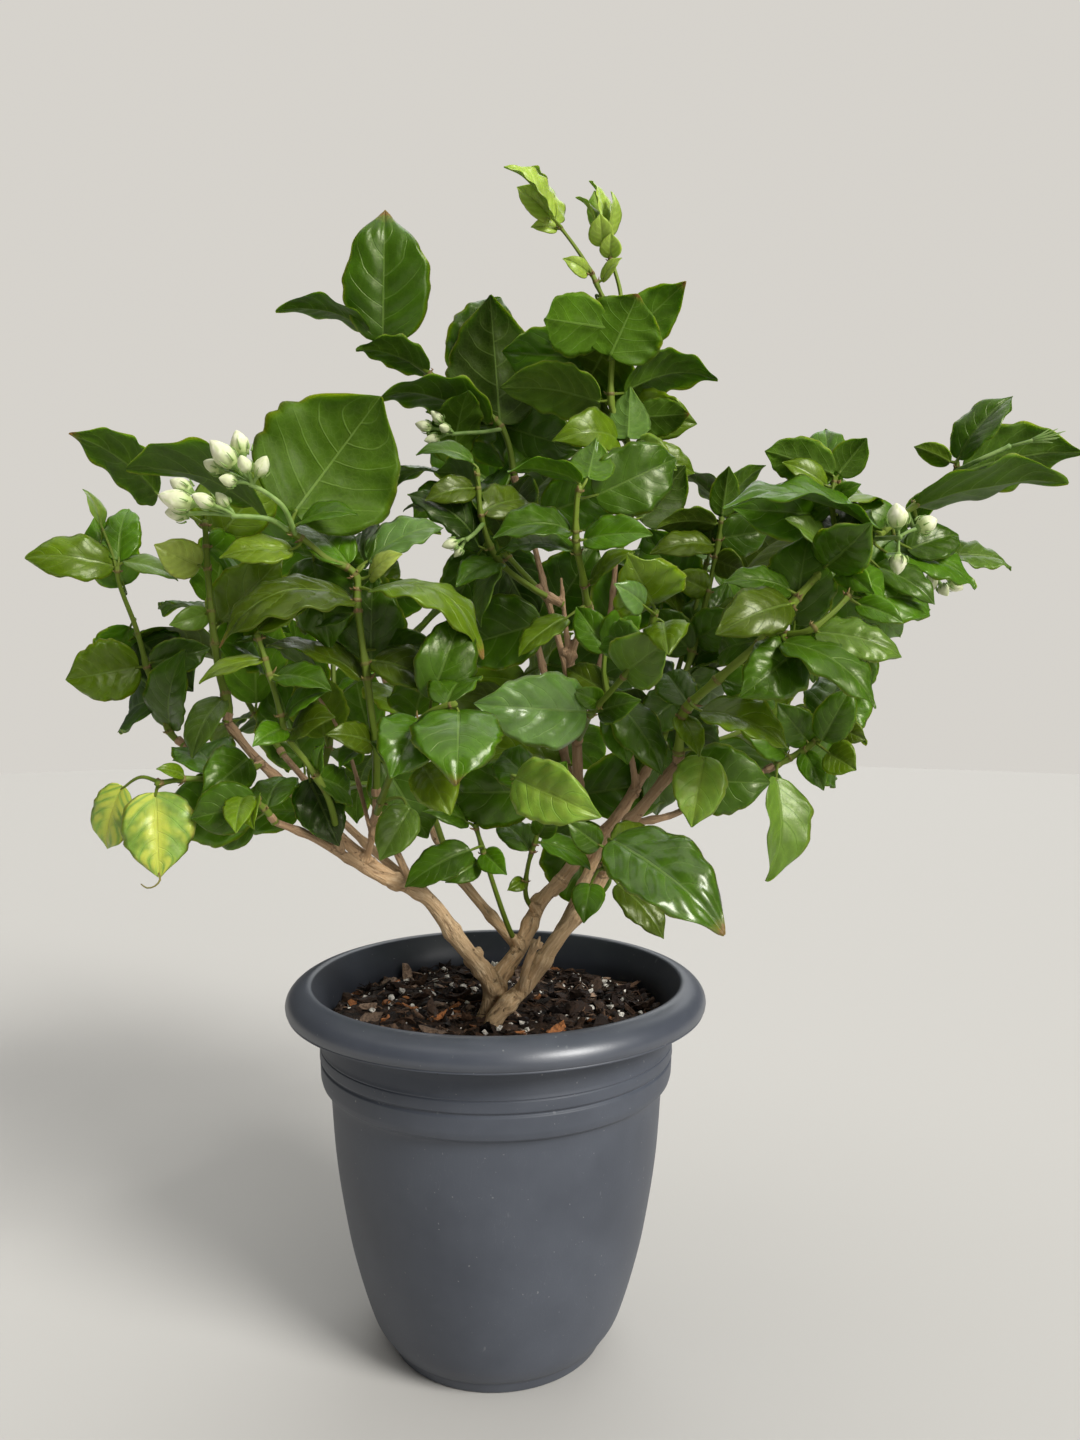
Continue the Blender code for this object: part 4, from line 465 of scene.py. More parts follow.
        leaf(516, 778, 600, 817, 62, 24, LIGHT, y=-108, arch=0.14), leaf(532, 784, 500, 752, 44, -30, MID),
        leaf(548, 790, 566, 762, 36, 10, MID)),
    shoot("shoot_low_left", "wood", (1.6, 1.2), path((519, 949, -12), (508, 926, -22), (492, 880, -36),
             (475, 824, -48)),
        leaf(484, 852, 506, 874, 28, 14, MID), leaf(478, 862, 446, 882, 26, 14, DARK),
        leaf(470, 850, 404, 886, 40, 12, DARK, y=-60), leaf(468, 822, 424, 810, 24, 16, DARK),
        leaf(478, 824, 500, 790, 36, -22, OLIVE)),
    shoot("shoot_low_middle", "wood", (1.6, 1.1), path((536, 913, -1), (526, 896, -12), (528, 866, -24),
             (537, 836, -30)),
        leaf(524, 880, 508, 890, 16, 8, BRIGHT), leaf(541, 842, 592, 868, 22, -4, MID),
        leaf(538, 836, 556, 804, 26, 10), leaf(530, 850, 500, 822, 30, -26)),
    shoot("shoot_low_front", "wood", (1.8, 1.3), path((604, 872, -36), (608, 856, -70), (611, 843, -96)),
        leaf(613, 840, 726, 932, 80, 34, DARK, y=-104, arch=0.12, fold=0.1, brown=1.0, gloss=1.0),
        leaf(618, 884, 665, 938, 36, 12, OLIVE, y=-66), leaf(590, 884, 584, 922, 34, 18, MID, y=-62),
        leaf(600, 846, 568, 822, 30, 10, DARK, y=-86), leaf(616, 846, 650, 826, 34, -24, y=-80)),
    shoot("shoot_right", "wood", (2.5, 1.8), path((678, 763, -50), (680, 735, -56), (684, 712, -62),
             (717, 680, -72), (767, 636, -82), (791, 605, -84), (816, 577, -80)),
        leaf(790, 604, 716, 633, 52, 18, OLIVE, y=-94), leaf(798, 650, 740, 697, 65, 18, DARK, y=-92),
        leaf(702, 712, 791, 747, 38, 14, BRIGHT, y=-82, arch=0.14),
        leaf(680, 716, 700, 756, 26, 14, BRIGHT), leaf(704, 757, 692, 827, 54, 12, LIGHT, y=-58),
        leaf(790, 590, 724, 580, 26, 8, DARK), leaf(758, 640, 716, 656, 40, -34),
        leaf(722, 680, 776, 706, 40, -20), leaf(688, 704, 664, 672, 40, -30)),
    shoot("shoot_right_under", "shoot_right", (1.8, 1.3), path((767, 636, -82), (796, 634, -94),
             (814, 628, -98), (848, 596, -92), (853, 579, -88)),
        leaf(784, 642, 878, 706, 40, 20, DARK, y=-100, arch=0.14), leaf(816, 632, 903, 656, 42, 4, GREY),
        leaf(857, 604, 903, 622, 26, 4, MID), leaf(852, 578, 886, 596, 28, -20, MID)),
    shoot("shoot_right_outer", "shoot_right", (1.8, 1.4), path((816, 577, -80), (836, 558, -76),
             (862, 545, -66), (884, 532, -56)),
        leaf(876, 530, 724, 502, 27, 14, MID, y=-64, side=UNDER, arch=0.12, wave=0.08),
        leaf(828, 560, 787, 517, 17, 12, GREY, fold=0.3), leaf(826, 566, 870, 525, 58, 12, DARK, y=-84),
        leaf(836, 562, 872, 592, 30, 10, MID), leaf(862, 548, 820, 510, 40, -40),
        leaf(884, 552, 978, 584, 30, -4, MID, y=-46), leaf(876, 566, 936, 603, 32, 12, DARK, y=-58)),
    shoot("shoot_far_right", "shoot_right_outer", (1.6, 1.1), path((884, 532, -56), (900, 516, -50),
             (913, 507, -46), (941, 485, -40), (955, 473, -38), (957, 462, -38)),
        leaf(958, 459, 1012, 394, 38, 4, DARK, fold=0.3),
        leaf(950, 462, 914, 446, 22, -4, BRIGHT, side=UNDER),
        leaf(963, 473, 1077, 432, 62, -6, DARK, side=UNDER, wave=0.08),
        leaf(916, 505, 1068, 478, 30, 10, DARK, side=UNDER, arch=0.06, wave=0.1),
        leaf(908, 550, 960, 535, 45, -10, DARK, y=-52),
        leaf(950, 556, 1013, 568, 20, -10, GREY, y=-30, wave=0.1)),
    shoot("shoot_right_top", "shoot_right_outer", (1.5, 1.2), path((838, 557, -75), (836, 538, -58),
             (832, 500, -46), (835, 478, -42)),
        leaf(833, 474, 764, 450, 46, 10, DARK, side=UNDER, wave=0.1),
        leaf(838, 474, 867, 438, 36, 6, DARK, side=UNDER), leaf(826, 486, 784, 462, 18, -10, BRIGHT),
        leaf(834, 496, 861, 484, 17, 8, MID), leaf(834, 506, 800, 520, 36, -36),
        leaf(836, 500, 872, 506, 34, -36)),
    shoot("shoot_right_low", "wood", (1.8, 1.2), path((766, 770, 4), (790, 758, 4), (812, 744, 0),
             (832, 722, -6), (846, 690, -10)),
        leaf(776, 778, 770, 882, 34, 14, GREY, y=-6, fold=0.28),
        leaf(828, 752, 856, 770, 38, 12, BRIGHT, y=-10), leaf(804, 752, 824, 790, 26, 12, MID),
        leaf(822, 740, 852, 686, 40, 10, DARK, y=-18), leaf(836, 726, 866, 740, 26, 10, OLIVE),
        leaf(848, 688, 872, 642, 40, 6, DARK), leaf(808, 742, 778, 704, 40, 12, DARK),
        leaf(786, 754, 736, 716, 36, 8, MID), leaf(826, 716, 858, 664, 44, -40),
        leaf(800, 748, 838, 776, 44, -34)),
    shoot("shoot_right_inner", "wood", (2.2, 1.4), path((660, 750, -14), (668, 722, -6), (690, 660, 10),
             (706, 600, 18), (718, 545, 22), (722, 518, 22)),
        leaf(722, 516, 729, 466, 30, 4, DARK, side=UNDER),
        leaf(726, 504, 764, 464, 22, -4, DARK, y=34, side=UNDER), leaf(720, 538, 770, 530, 44, -6, DARK),
        leaf(708, 590, 674, 574, 30, 14, BRIGHT), leaf(716, 560, 746, 572, 30, 14, OLIVE),
        leaf(712, 545, 650, 552, 30, 10, OLIVE), leaf(716, 524, 656, 526, 26, 4, OLIVE, side=UNDER),
        leaf(696, 640, 738, 612, 46, 20, MID), leaf(690, 650, 652, 610, 44, -10, DARK),
        leaf(676, 700, 640, 730, 46, 14), leaf(674, 712, 714, 760, 50, -12),
        leaf(684, 676, 724, 700, 46, -30)),
    shoot("shoot_middle_low", "wood", (1.8, 1.2), path((619, 722, -28), (612, 706, -36), (604, 676, -40),
             (606, 644, -40)),
        leaf(614, 708, 628, 764, 40, 12), leaf(616, 700, 662, 772, 44, 4),
        leaf(606, 690, 566, 668, 34, -10), leaf(608, 650, 576, 606, 36, -6),
        leaf(606, 646, 640, 600, 36, 6)),
)

# Shoots on the wood at the back and in the middle: name, points, leaf pairs, leaf length and
# turn of the first pair in degrees
HIDDEN_SHOOTS = (
    ("shoot_back_left", (at(-78, 88, 384), at(-94, 104, 430), at(-108, 112, 486)), 3, 68, 20),
    ("shoot_back_left_low", (at(-58, 58, 330), at(-92, 92, 338), at(-130, 122, 356)), 3, 66, 65),
    ("shoot_back_middle", (at(14, 110, 452), at(6, 118, 496), at(2, 122, 556)), 3, 68, 40),
    ("shoot_back_low", (at(36, 55, 350), at(20, 102, 350), at(6, 152, 366)), 3, 68, 10),
    ("shoot_back_right", (at(130, 92, 380), at(150, 106, 424), at(160, 112, 480)), 3, 68, 75),
    ("shoot_back_right_low", (at(104, 62, 336), at(144, 92, 340), at(186, 114, 356)), 3, 66, 30),
    ("shoot_side_left", (at(-130, 32, 334), at(-160, 52, 372), at(-182, 62, 424)), 3, 66, 50),
    ("shoot_heart_left", (at(-30, 24, 272), at(-46, 12, 330), at(-56, 10, 400)), 3, 62, 85),
    ("shoot_heart_middle", (at(30, 40, 428), at(-2, 46, 464), at(-30, 50, 508)), 3, 60, 35),
    ("shoot_heart_low", (at(-93.8, -62, 314), at(-88, -36, 352), at(-90, -18, 404)), 3, 52, 60),
    ("shoot_heart_right", (at(66, 16, 290), at(92, 20, 340), at(112, 30, 400), at(126, 36, 452)), 4, 62, 5),
)

# Leaves deeper in the bush, by the branch or shoot that carries them
INNER_LEAVES = {
    "middle_back": (leaf(541, 623, 452, 649, 74, -14, DARK), leaf(544, 514, 631, 482, 63, -8, MID)),
    "shoot_right_under": (leaf(794, 624, 808, 533, 75, 4, DARK), leaf(859, 598, 933, 608, 46, -18, MID)),
    "back_middle": (
        leaf(548, 622, 597, 544, 75, 10, DARK), leaf(584, 794, 675, 780, 70, -18, DARK),
        leaf(548, 664, 638, 684, 68, -8, DARK), leaf(525, 674, 451, 729, 72, -18, BRIGHT)),
    "shoot_front_low": (leaf(534, 792, 443, 793, 70, -14, DARK),),
    "right": (leaf(679, 780, 771, 783, 72, 4, DARK),),
    "shoot_front_left": (leaf(431, 699, 463, 613, 61, -8, DARK),),
    "shoot_top_left": (leaf(495, 423, 583, 451, 68, 10, DARK), leaf(465, 381, 502, 296, 65, -14, DARK)),
    "shoot_back_left": (
        leaf(328, 544, 236, 536, 75, -18, MID), leaf(376, 600, 434, 594, 41, 10, MID),
        leaf(371, 595, 398, 560, 30, -14, BRIGHT)),
    "shoot_heart_middle": (leaf(492, 543, 536, 624, 60, -14, DEEP), leaf(444, 487, 414, 519, 32, 10, DARK)),
    "shoot_left_front": (
        leaf(370, 669, 373, 577, 72, 4, DARK), leaf(313, 558, 330, 648, 74, 10, DARK),
        leaf(382, 760, 429, 839, 63, -14, DARK), leaf(379, 649, 437, 646, 34, 10, DARK)),
    "shoot_heart_right": (
        leaf(690, 609, 645, 528, 70, -8, MID), leaf(654, 743, 658, 817, 46, -18, DARK),
        leaf(714, 573, 752, 594, 28, -18, DARK)),
    "shoot_right_top": (leaf(825, 515, 733, 508, 58, 10, MID), leaf(832, 484, 825, 427, 46, -18, MID)),
    "shoot_right_outer": (leaf(839, 572, 902, 639, 67, -18, MID),),
    "left_upper": (leaf(299, 811, 225, 814, 50, -14, MID),),
    "shoot_left_low": (leaf(253, 807, 161, 808, 74, 4, MID), leaf(253, 821, 214, 842, 35, -8, DARK)),
    "shoot_left_far": (
        leaf(130, 627, 104, 679, 47, -18, MID), leaf(124, 585, 94, 517, 55, 4, MID),
        leaf(140, 640, 193, 691, 57, 4, DEEP)),
    "shoot_centre": (leaf(595, 496, 678, 457, 71, -14, DARK),),
    "shoot_left_tall": (
        leaf(218, 624, 282, 558, 66, 4, BRIGHT), leaf(218, 537, 278, 467, 62, -8, BRIGHT),
        leaf(212, 532, 219, 475, 47, -14, BRIGHT)),
    "shoot_crest": (
        leaf(598, 303, 644, 362, 57, -18, MID),
        leaf(610, 356, 638, 294, 86, 8, MID, y=0, side=UNDER, arch=0.05, brown=1.0),
        leaf(593, 358, 501, 352, 59, -14, MID), leaf(624, 409, 697, 424, 50, 10, BRIGHT),
        leaf(605, 232, 594, 190, 27, 4, LIGHT), leaf(641, 455, 696, 473, 33, -8, BRIGHT)),
    "shoot_back_middle": (leaf(503, 489, 428, 436, 64, -8, MID),),
    "middle": (leaf(576, 822, 587, 913, 74, 10, DARK), leaf(561, 764, 471, 744, 52, -8, BRIGHT)),
    "shoot_right_inner": (leaf(694, 666, 728, 581, 63, -14, DARK),),
    "shoot_far_right": (leaf(900, 517, 824, 568, 67, 10, MID), leaf(935, 495, 906, 528, 25, -18, MID)),
    "middle_rise": (leaf(614, 628, 654, 545, 72, 4, MID),),
    "side_left": (leaf(305, 766, 274, 679, 69, -8, DARK),),
    "shoot_left_inner": (leaf(309, 779, 339, 846, 49, 10, DEEP),),
    "shoot_right": (leaf(808, 609, 814, 683, 44, 4, DARK),),
    "shoot_right_low": (leaf(822, 735, 870, 678, 56, -8, MID),),
    "shoot_middle_left": (leaf(479, 552, 450, 620, 50, 4, DARK), leaf(493, 565, 453, 523, 42, -14, DARK)),
}

# Cluster whose one flower has dropped
SPENT_CYME = "cyme_far_right"

# Flower clusters: name, stalk, and for each bud the picture point and depth of its middle,
# its width and its length
CYMES = (
    ("cyme_left", path((289, 531, -105), (272, 520, -112), (255, 517, -116), (232, 516, -120)),
     ((176, 500, -124, 10.5, 16.5), (181, 486, -118, 8, 12), (177, 513, -116, 8, 12),
      (203, 500, -128, 7, 11), (222, 500, -122, 6, 8.5))),
    ("cyme_left_upper", path((296, 536, -103.5), (284, 508, -116), (268, 494, -120), (250, 484, -124)),
     ((223, 454, -126, 10, 16.5), (240, 443, -120, 8.5, 13), (213, 466, -118, 7, 11),
      (262, 466, -128, 7, 11), (228, 480, -130, 6, 8.5), (244, 464, -132, 6.5, 9.5))),
    ("cyme_top_left", path((502, 429, 48), (482, 432, 34), (464, 433, 30), (452, 434, 28)),
     ((424, 426, 28, 7, 11), (437, 417, 24, 6, 10), (432, 439, 24, 6, 10), (444, 428, 20, 5.5, 8.5))),
    ("cyme_middle", path((483, 524, -20), (474, 534, -30), (466, 540, -34)),
     ((450, 544, -36, 6, 9.5), (458, 552, -32, 4.5, 7))),
    ("cyme_right", path((873, 539, -61), (888, 538, -70), (901, 537, -76)),
     ((897, 516, -76, 11, 13), (927, 524, -72, 9.5, 12), (898, 564, -76, 8.5, 11))),
    ("cyme_right_low", path((907, 512, -48), (922, 550, -30), (930, 568, -28)),
     ((932, 582, -30, 8, 9.5), (956, 585, -26, 8, 9.5), (944, 590, -34, 6, 8))),
    ("cyme_far_right", path((956, 471, -38), (975, 462, -56), (1010, 446, -60)),
     ((1042, 438, -62, 5, 12),)),
)


def spur_length(stem):
    """Length of a shoot's spur: short where a branch ends, longer beside one."""
    ends = [branch[1][-1] for branch in WOOD] + [item[3][-1] for item in SHOOTS]
    at_end = any((end - stem[0]).length < SAME_PLACE for end in ends)
    return SPUR_TIP if at_end else SPUR_SIDE


def stem_after_spur(stem, length):
    """Points of a stem that starts a hair's breadth past its spur."""
    direction = (stem[1] - stem[0]).normalized()
    end = stem[0] + direction * length
    points = [end + direction * GAP, end + direction * SPUR_STEP]
    travelled = length + 2.0 * SPUR_STEP
    return points + [point for point in stem[1:] if (point - stem[0]).length > travelled]


def shortened(stem):
    """Stem without the hair's breadth at each end where a leaf would sit on the cut face."""
    first = stem[0] + (stem[1] - stem[0]).normalized() * END_INSET
    last = stem[-1] + (stem[-2] - stem[-1]).normalized() * END_INSET
    return [first, *stem[1:-1], last]


def stem_point(stems, u, v):
    """Point inside the stems that is seen nearest to the picture point (u, v)."""
    best = None
    for stem in map(shortened, stems):
        for first, second in zip(stem, stem[1:]):
            for step in range(STEM_SAMPLES + 1):
                place = first.lerp(second, step / STEM_SAMPLES)
                seen_u, seen_v = picture_point(place)
                distance = math.hypot(seen_u - u, seen_v - v)
                if best is None or distance < best[0]:
                    best = (distance, place)
    return best[1]


def square_to(vector, axis):
    """Unit vector of the part of a vector that is square to an axis."""
    return (vector - axis * vector.dot(axis)).normalized()


def upward_cross(axis, facing, middle):
    """Direction across the view of a leaf's axis that points up, or outward on a hanging leaf."""
    cross = axis.cross(facing).normalized()
    wanted = cross.z if abs(cross.z) > 0.25 else cross.dot(Vector((middle.x, middle.y, 0.0)))
    return cross if wanted >= 0.0 else -cross


def seen_leaf(item, stems):
    """Place in the world of a leaf that is given by its picture points."""
    root = stem_point(stems, *item["base"])
    depth = root.y if item["y"] is None else item["y"]
    base = seen(*item["base"], depth)
    width = item["width"] * (depth - EYE.y) / FOCAL
    lean = item["lean"]
    if lean is None:
        length = (seen(*item["tip"], depth) - base).length
        lean = math.sqrt(max((LEAST_LENGTH * width) ** 2 - length ** 2, 0.0))
    tip = seen(*item["tip"], depth - lean)
    axis = (tip - base).normalized()
    middle = (tip + base) * 0.5
    facing = square_to(EYE - middle, axis)
    full = max(width, SLIM * (tip - base).length)
    tilt = math.acos(min(1.0, width / full))
    normal = facing * math.cos(tilt) * item["side"]
    normal += upward_cross(axis, facing, middle) * math.sin(tilt)
    return {**item, "root": root, "base": base, "tip": tip, "normal": normal, "width": full}


def point_along(stem, share):
    """Point at a share of a stem's length, and the stem's direction there."""
    lengths = [(second - first).length for first, second in zip(stem, stem[1:])]
    wanted = share * sum(lengths)
    for first, second, length in zip(stem, stem[1:], lengths):
        if wanted <= length or second is stem[-1]:
            return first.lerp(second, min(1.0, wanted / length)), (second - first).normalized()
        wanted -= length


def grown_leaves(stem, pairs, length, turn):
    """Opposite pairs of leaves along a hidden stem, each pair turned a quarter from the last."""
    leaves = []
    stem = shortened(stem)
    for pair in range(pairs):
        share = 0.28 + 0.72 * pair / (pairs - 1)
        place, along = point_along(stem, share)
        reference = along.cross(Vector((0.3, 0.2, 1.0))).normalized()
        for half in range(2):
            angle = math.radians(turn + 90.0 * pair + 180.0 * half + 14.0 * math.sin(3.0 * pair))
            out = Matrix.Rotation(angle, 3, along) @ reference
            rise = 0.30 + 0.25 * share
            axis = (out + along * rise + Vector((0.0, 0.0, -0.10))).normalized()
            size = length * (1.0 - 0.22 * abs(share - 0.6)) * (0.92 + 0.12 * math.sin(5.1 * angle))
            base = place + axis * HIDDEN_STALK
            leaves.append({
                **leaf(0, 0, 0, 0, size * HIDDEN_WIDTH, arch=0.12, wave=0.06), "root": place,
                "base": base, "tip": base + axis * size, "normal": square_to(UP + along * 0.6, axis)})
    return leaves


def bends():
    """Ways in which a leaf solid may be bent clear of its neighbours, mildest first."""
    tries = []
    for size, swing, nearer, roll in itertools.product(SIZES, SWINGS, SHIFTS, ROLLS):
        effort = (1.0 - size) * 9.0 + abs(swing) / 14.0
        effort += abs(nearer) / 0.014 + abs(roll) / 22.0
        tries.append((effort, size, swing, nearer, roll))
    return sorted(tries, key=lambda item: item[0])


def bent(item, size, swing, nearer, roll):
    """Copy of a leaf bent by the given amounts."""
    base = item["base"]
    view = (EYE - base).normalized()
    chord = Matrix.Rotation(math.radians(swing), 3, view) @ ((item["tip"] - base) * size)
    chord += view * nearer
    axis = chord.normalized()
    normal = Matrix.Rotation(math.radians(roll), 3, axis) @ square_to(item["normal"], axis)
    return {**item, "tip": base + chord, "normal": normal, "width": item["width"] * size}


def half_width(share):
    """Half width of a leaf's outline at a share of its length, 1 at its widest."""
    return share ** 0.5 * (1.0 - share) ** 0.78 / WIDEST


def stations_of(form):
    """Shares of the length at which a leaf's solid has its sections."""
    return STATIONS_BROAD if form["width"] > BROAD_LEAF else STATIONS_NARROW


def margin_waves(order, index, sine):
    """Rise and fall of a leaf's two margins at a section, as parts of the wave's height."""
    return sine(2.4 * order + 1.7 * index), sine(2.4 * order + 2.9 * index + 1.0)


def solid_marks(form, index):
    """Corners that a leaf's solid has: its tip and the two sides of its last section."""
    axis = form["tip"] - form["base"]
    length = axis.length
    axis = axis / length
    normal = form["normal"]
    across = axis.cross(normal).normalized()
    stations = stations_of(form)
    share = stations[-1]
    bow = form["arch"] * length * 4.0 * share * (1.0 - share)
    middle = form["base"] + axis * (length * share) + normal * bow
    half = form["width"] * 0.5 * half_width(share)
    left, right = [form["fold"] * half + form["wave"] * half * wave
                   for wave in margin_waves(len(stations) - 1, index, math.sin)]
    return (form["tip"], middle - across * half + normal * left,
            middle + across * half + normal * right)


def settled(item, index, corners, ways):
    """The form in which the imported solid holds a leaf, or None where it holds none."""
    for _, *way in ways:
        form = bent(item, *way)
        if all(corners.find(mark)[2] < MATCH for mark in solid_marks(form, index)):
            return form
    return None


def search_tree(points):
    """Search tree of points."""
    tree = KDTree(len(points))
    for index, point in enumerate(points):
        tree.insert(point, index)
    tree.balance()
    return tree


def plan_shoots():
    """Every shoot with its stems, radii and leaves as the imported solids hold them."""
    ways = bends()
    plans = []
    index = 0
    hidden = [(name, "wood", HIDDEN_RADII, points, [], (pairs, length / PER_METRE, turn))
              for name, points, pairs, length, turn in HIDDEN_SHOOTS]
    for name, carrier, radii, stem, twigs, leaves in [*SHOOTS, *hidden]:
        after = stem_after_spur(stem, spur_length(stem))
        if isinstance(leaves, tuple):
            items = grown_leaves(after, *leaves)
        else:
            items = [seen_leaf(item, [after, *twigs]) for item in leaves]
        corners = search_tree([vertex.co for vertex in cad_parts[name].data.vertices])
        forms = []
        for item in items:
            form = settled(item, index, corners, ways)
            if form is not None:
                forms.append((form, index))
            index += 1
        plans.append((name, carrier, radii, stem, twigs, forms))
    return plans


def linked(name, data):
    """New object in the scene."""
    item = bpy.data.objects.new(name, data)
    bpy.context.scene.collection.objects.link(item)
    return item


def placed_piece(name, mesh, slot, *nodes):
    """Object of a mesh that rides on the part and stands for the named nodes."""
    piece = linked(name, mesh)
    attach(piece, "root")
    if nodes:
        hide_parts(*nodes)
    return piece


def applied(guide, name, *materials):
    """Mesh of an object with its modifiers applied; the object itself is removed."""
    bpy.context.view_layer.update()
    graph = bpy.context.evaluated_depsgraph_get()
    mesh = bpy.data.meshes.new_from_object(guide.evaluated_get(graph), depsgraph=graph)
    bpy.data.objects.remove(guide)
    mesh.name = name
    mesh.materials.clear()
    for item in materials:
        mesh.materials.append(item)
    return mesh


def circle(radius, corners):
    """Corners (x, y) of a circle."""
    turns = [math.tau * corner / corners for corner in range(corners)]
    return [(radius * math.cos(turn), radius * math.sin(turn)) for turn in turns]


def ring_faces(rings, corners, downward=False):
    """Four-sided faces between rings of points, which lie one above the other."""
    faces = []
    for low in range(0, (rings - 1) * corners, corners):
        for corner in range(corners):
            here, there = low + corner, low + (corner + 1) % corners
            face = (here, there, there + corners, here + corners)
            faces.append((here, *face[:0:-1]) if downward else face)
    return faces


def end_faces(start, corners, tip, above):
    """Triangles from a ring's edges to a point above or below it."""
    edges = [(start + corner, start + (corner + 1) % corners) for corner in range(corners)]
    return [(first, second, tip) if above else (second, first, tip) for first, second in edges]


def closed_rings(name, points, corners, top, bottom):
    """Mesh of rings of points, each below the last, closed by a point at the top and the bottom."""
    faces = ring_faces(len(points) // corners, corners, True)
    faces += end_faces(0, corners, len(points), True)
    faces += end_faces(len(points) - corners, corners, len(points) + 1, False)
    mesh = bpy.data.meshes.new(name)
    mesh.from_pydata([*points, (0.0, 0.0, top), (0.0, 0.0, bottom)], [], faces)
    return mesh


def ball(subdivisions, radius):
    """Points and faces of a ball."""
    shape = bmesh.new()
    bmesh.ops.create_icosphere(shape, subdivisions=subdivisions, radius=radius)
    points = [vertex.co.copy() for vertex in shape.verts]
    faces = [tuple(vertex.index for vertex in face.verts) for face in shape.faces]
    shape.free()
    return points, faces


class Growth:
    """Points and faces of one piece, gathered part by part."""

    def __init__(self):
        self.points = []
        self.faces = []
        self.slots = []
        self.layers = {"place": [], "tone": [], "marks": []}

    def add(self, points, faces, slots=0, place=None, tone=PLAIN, marks=PLAIN, gloss=0.0):
        """Add a part: points, faces, material slots, places in it, colour, marks and gloss."""
        start = len(self.points)
        self.points.extend(points)
        self.faces.extend(tuple(start + corner for corner in face) for face in faces)
        self.slots.extend(slots if isinstance(slots, list) else [slots] * len(faces))
        self.layers["place"].extend(place or [PLAIN] * len(points))
        self.layers["tone"].extend([(*tone, 1.0)] * len(points))
        self.layers["marks"].extend([(*marks, gloss)] * len(points))

    def mesh(self, name):
        """Mesh of the points and faces alone."""
        mesh = bpy.data.meshes.new(name)
        mesh.from_pydata([tuple(point) for point in self.points], [], self.faces)
        return mesh

    def finish(self, name, materials, slot, *nodes):
        """Make the piece, which stands for the named nodes."""
        mesh = self.mesh(name)
        for item in materials:
            mesh.materials.append(item)
        mesh.polygons.foreach_set("material_index", self.slots)
        mesh.polygons.foreach_set("use_smooth", [True] * len(self.faces))
        for title, values in self.layers.items():
            kind, key = ("FLOAT_VECTOR", "vector") if title == "place" else ("FLOAT_COLOR", "color")
            layer = mesh.attributes.new(title, kind, "POINT")
            layer.data.foreach_set(key, np.array(values, dtype=np.float32).ravel())
        mesh.update()
        return placed_piece(name, mesh, slot, *nodes)


def smooth_path(points, step=FINE_STEP):
    """Points of a smooth curve through a path, about `step` apart."""
    ends = [points[0] * 2.0 - points[1], *points, points[-1] * 2.0 - points[-2]]
    result = []
    for index in range(1, len(ends) - 2):
        before, first, second, after = ends[index - 1:index + 3]
        reach = (second - first).length
        start = (second - before).normalized() * reach * 0.33
        stop = (after - first).normalized() * reach * 0.33
        count = max(1, round(reach / step))
        for part in range(count):
            share = part / count
            rest = 1.0 - share
            result.append(
                first * rest ** 3 + (first + start) * (3.0 * rest * rest * share)
                + (second - stop) * (3.0 * rest * share * share) + second * share ** 3)
    result.append(points[-1].copy())
    return result


def path_lengths(curve):
    """Length of a curve up to each of its points."""
    lengths = [0.0]
    for first, second in zip(curve, curve[1:]):
        lengths.append(lengths[-1] + (second - first).length)
    return lengths


def path_radii(curve, radius_at):
    """Radius at each point of a curve from a function of the share of its length."""
    lengths = path_lengths(curve)
    total = max(lengths[-1], 1e-6)
    return [radius_at(length / total) for length in lengths]


def around(direction):
    """Function that gives the unit vector at an angle about a direction."""
    side = direction.orthogonal().normalized()
    other = direction.cross(side)
    return lambda angle: side * math.cos(angle) + other * math.sin(angle)


def sweep(growth, curve, radii, sides, slot=0, tone=PLAIN, marks=PLAIN):
    """Closed tube along a curve, its rings turned as little as possible."""
    direction = (curve[1] - curve[0]).normalized()
    side = direction.orthogonal().normalized()
    below = curve[0] - direction * radii[0] * 0.5
    points, place = [], []
    for index, (centre, radius) in enumerate(zip(curve, radii)):
        nearby = curve[min(index + 1, len(curve) - 1)] - curve[max(index - 1, 0)]
        direction = nearby.normalized()
        side = square_to(side, direction)
        other = direction.cross(side)
        for corner in range(sides):
            angle = math.tau * corner / sides
            points.append(centre + (side * math.cos(angle) + other * math.sin(angle)) * radius)
            place.append((angle, 0.0, 0.0))
    faces = ring_faces(len(curve), sides)
    faces += end_faces(0, sides, len(points), False)
    faces += end_faces(len(points) - sides, sides, len(points) + 1, True)
    points += [below, curve[-1] + direction * radii[-1] * 0.6]
    growth.add(points, faces, slot, place + [PLAIN] * 2, tone, marks)


def smooth_step(low, high, value):
    """0 below low, 1 above high and an even rise between."""
    share = np.clip((value - low) / (high - low), 0.0, 1.0)
    return share * share * (3.0 - 2.0 * share)


def vein_phase(along, across, seed):
    """Number of side veins passed at a place in a leaf, whole on a vein."""
    far = np.abs(across)
    swept = along - far * (VEIN_START + VEIN_ARCH * far)
    uneven = VEIN_UNEVEN * np.sin(7.0 * along + math.tau * seed)
    return swept * VEIN_PAIRS + VEIN_OFFSET * np.sign(across) + uneven


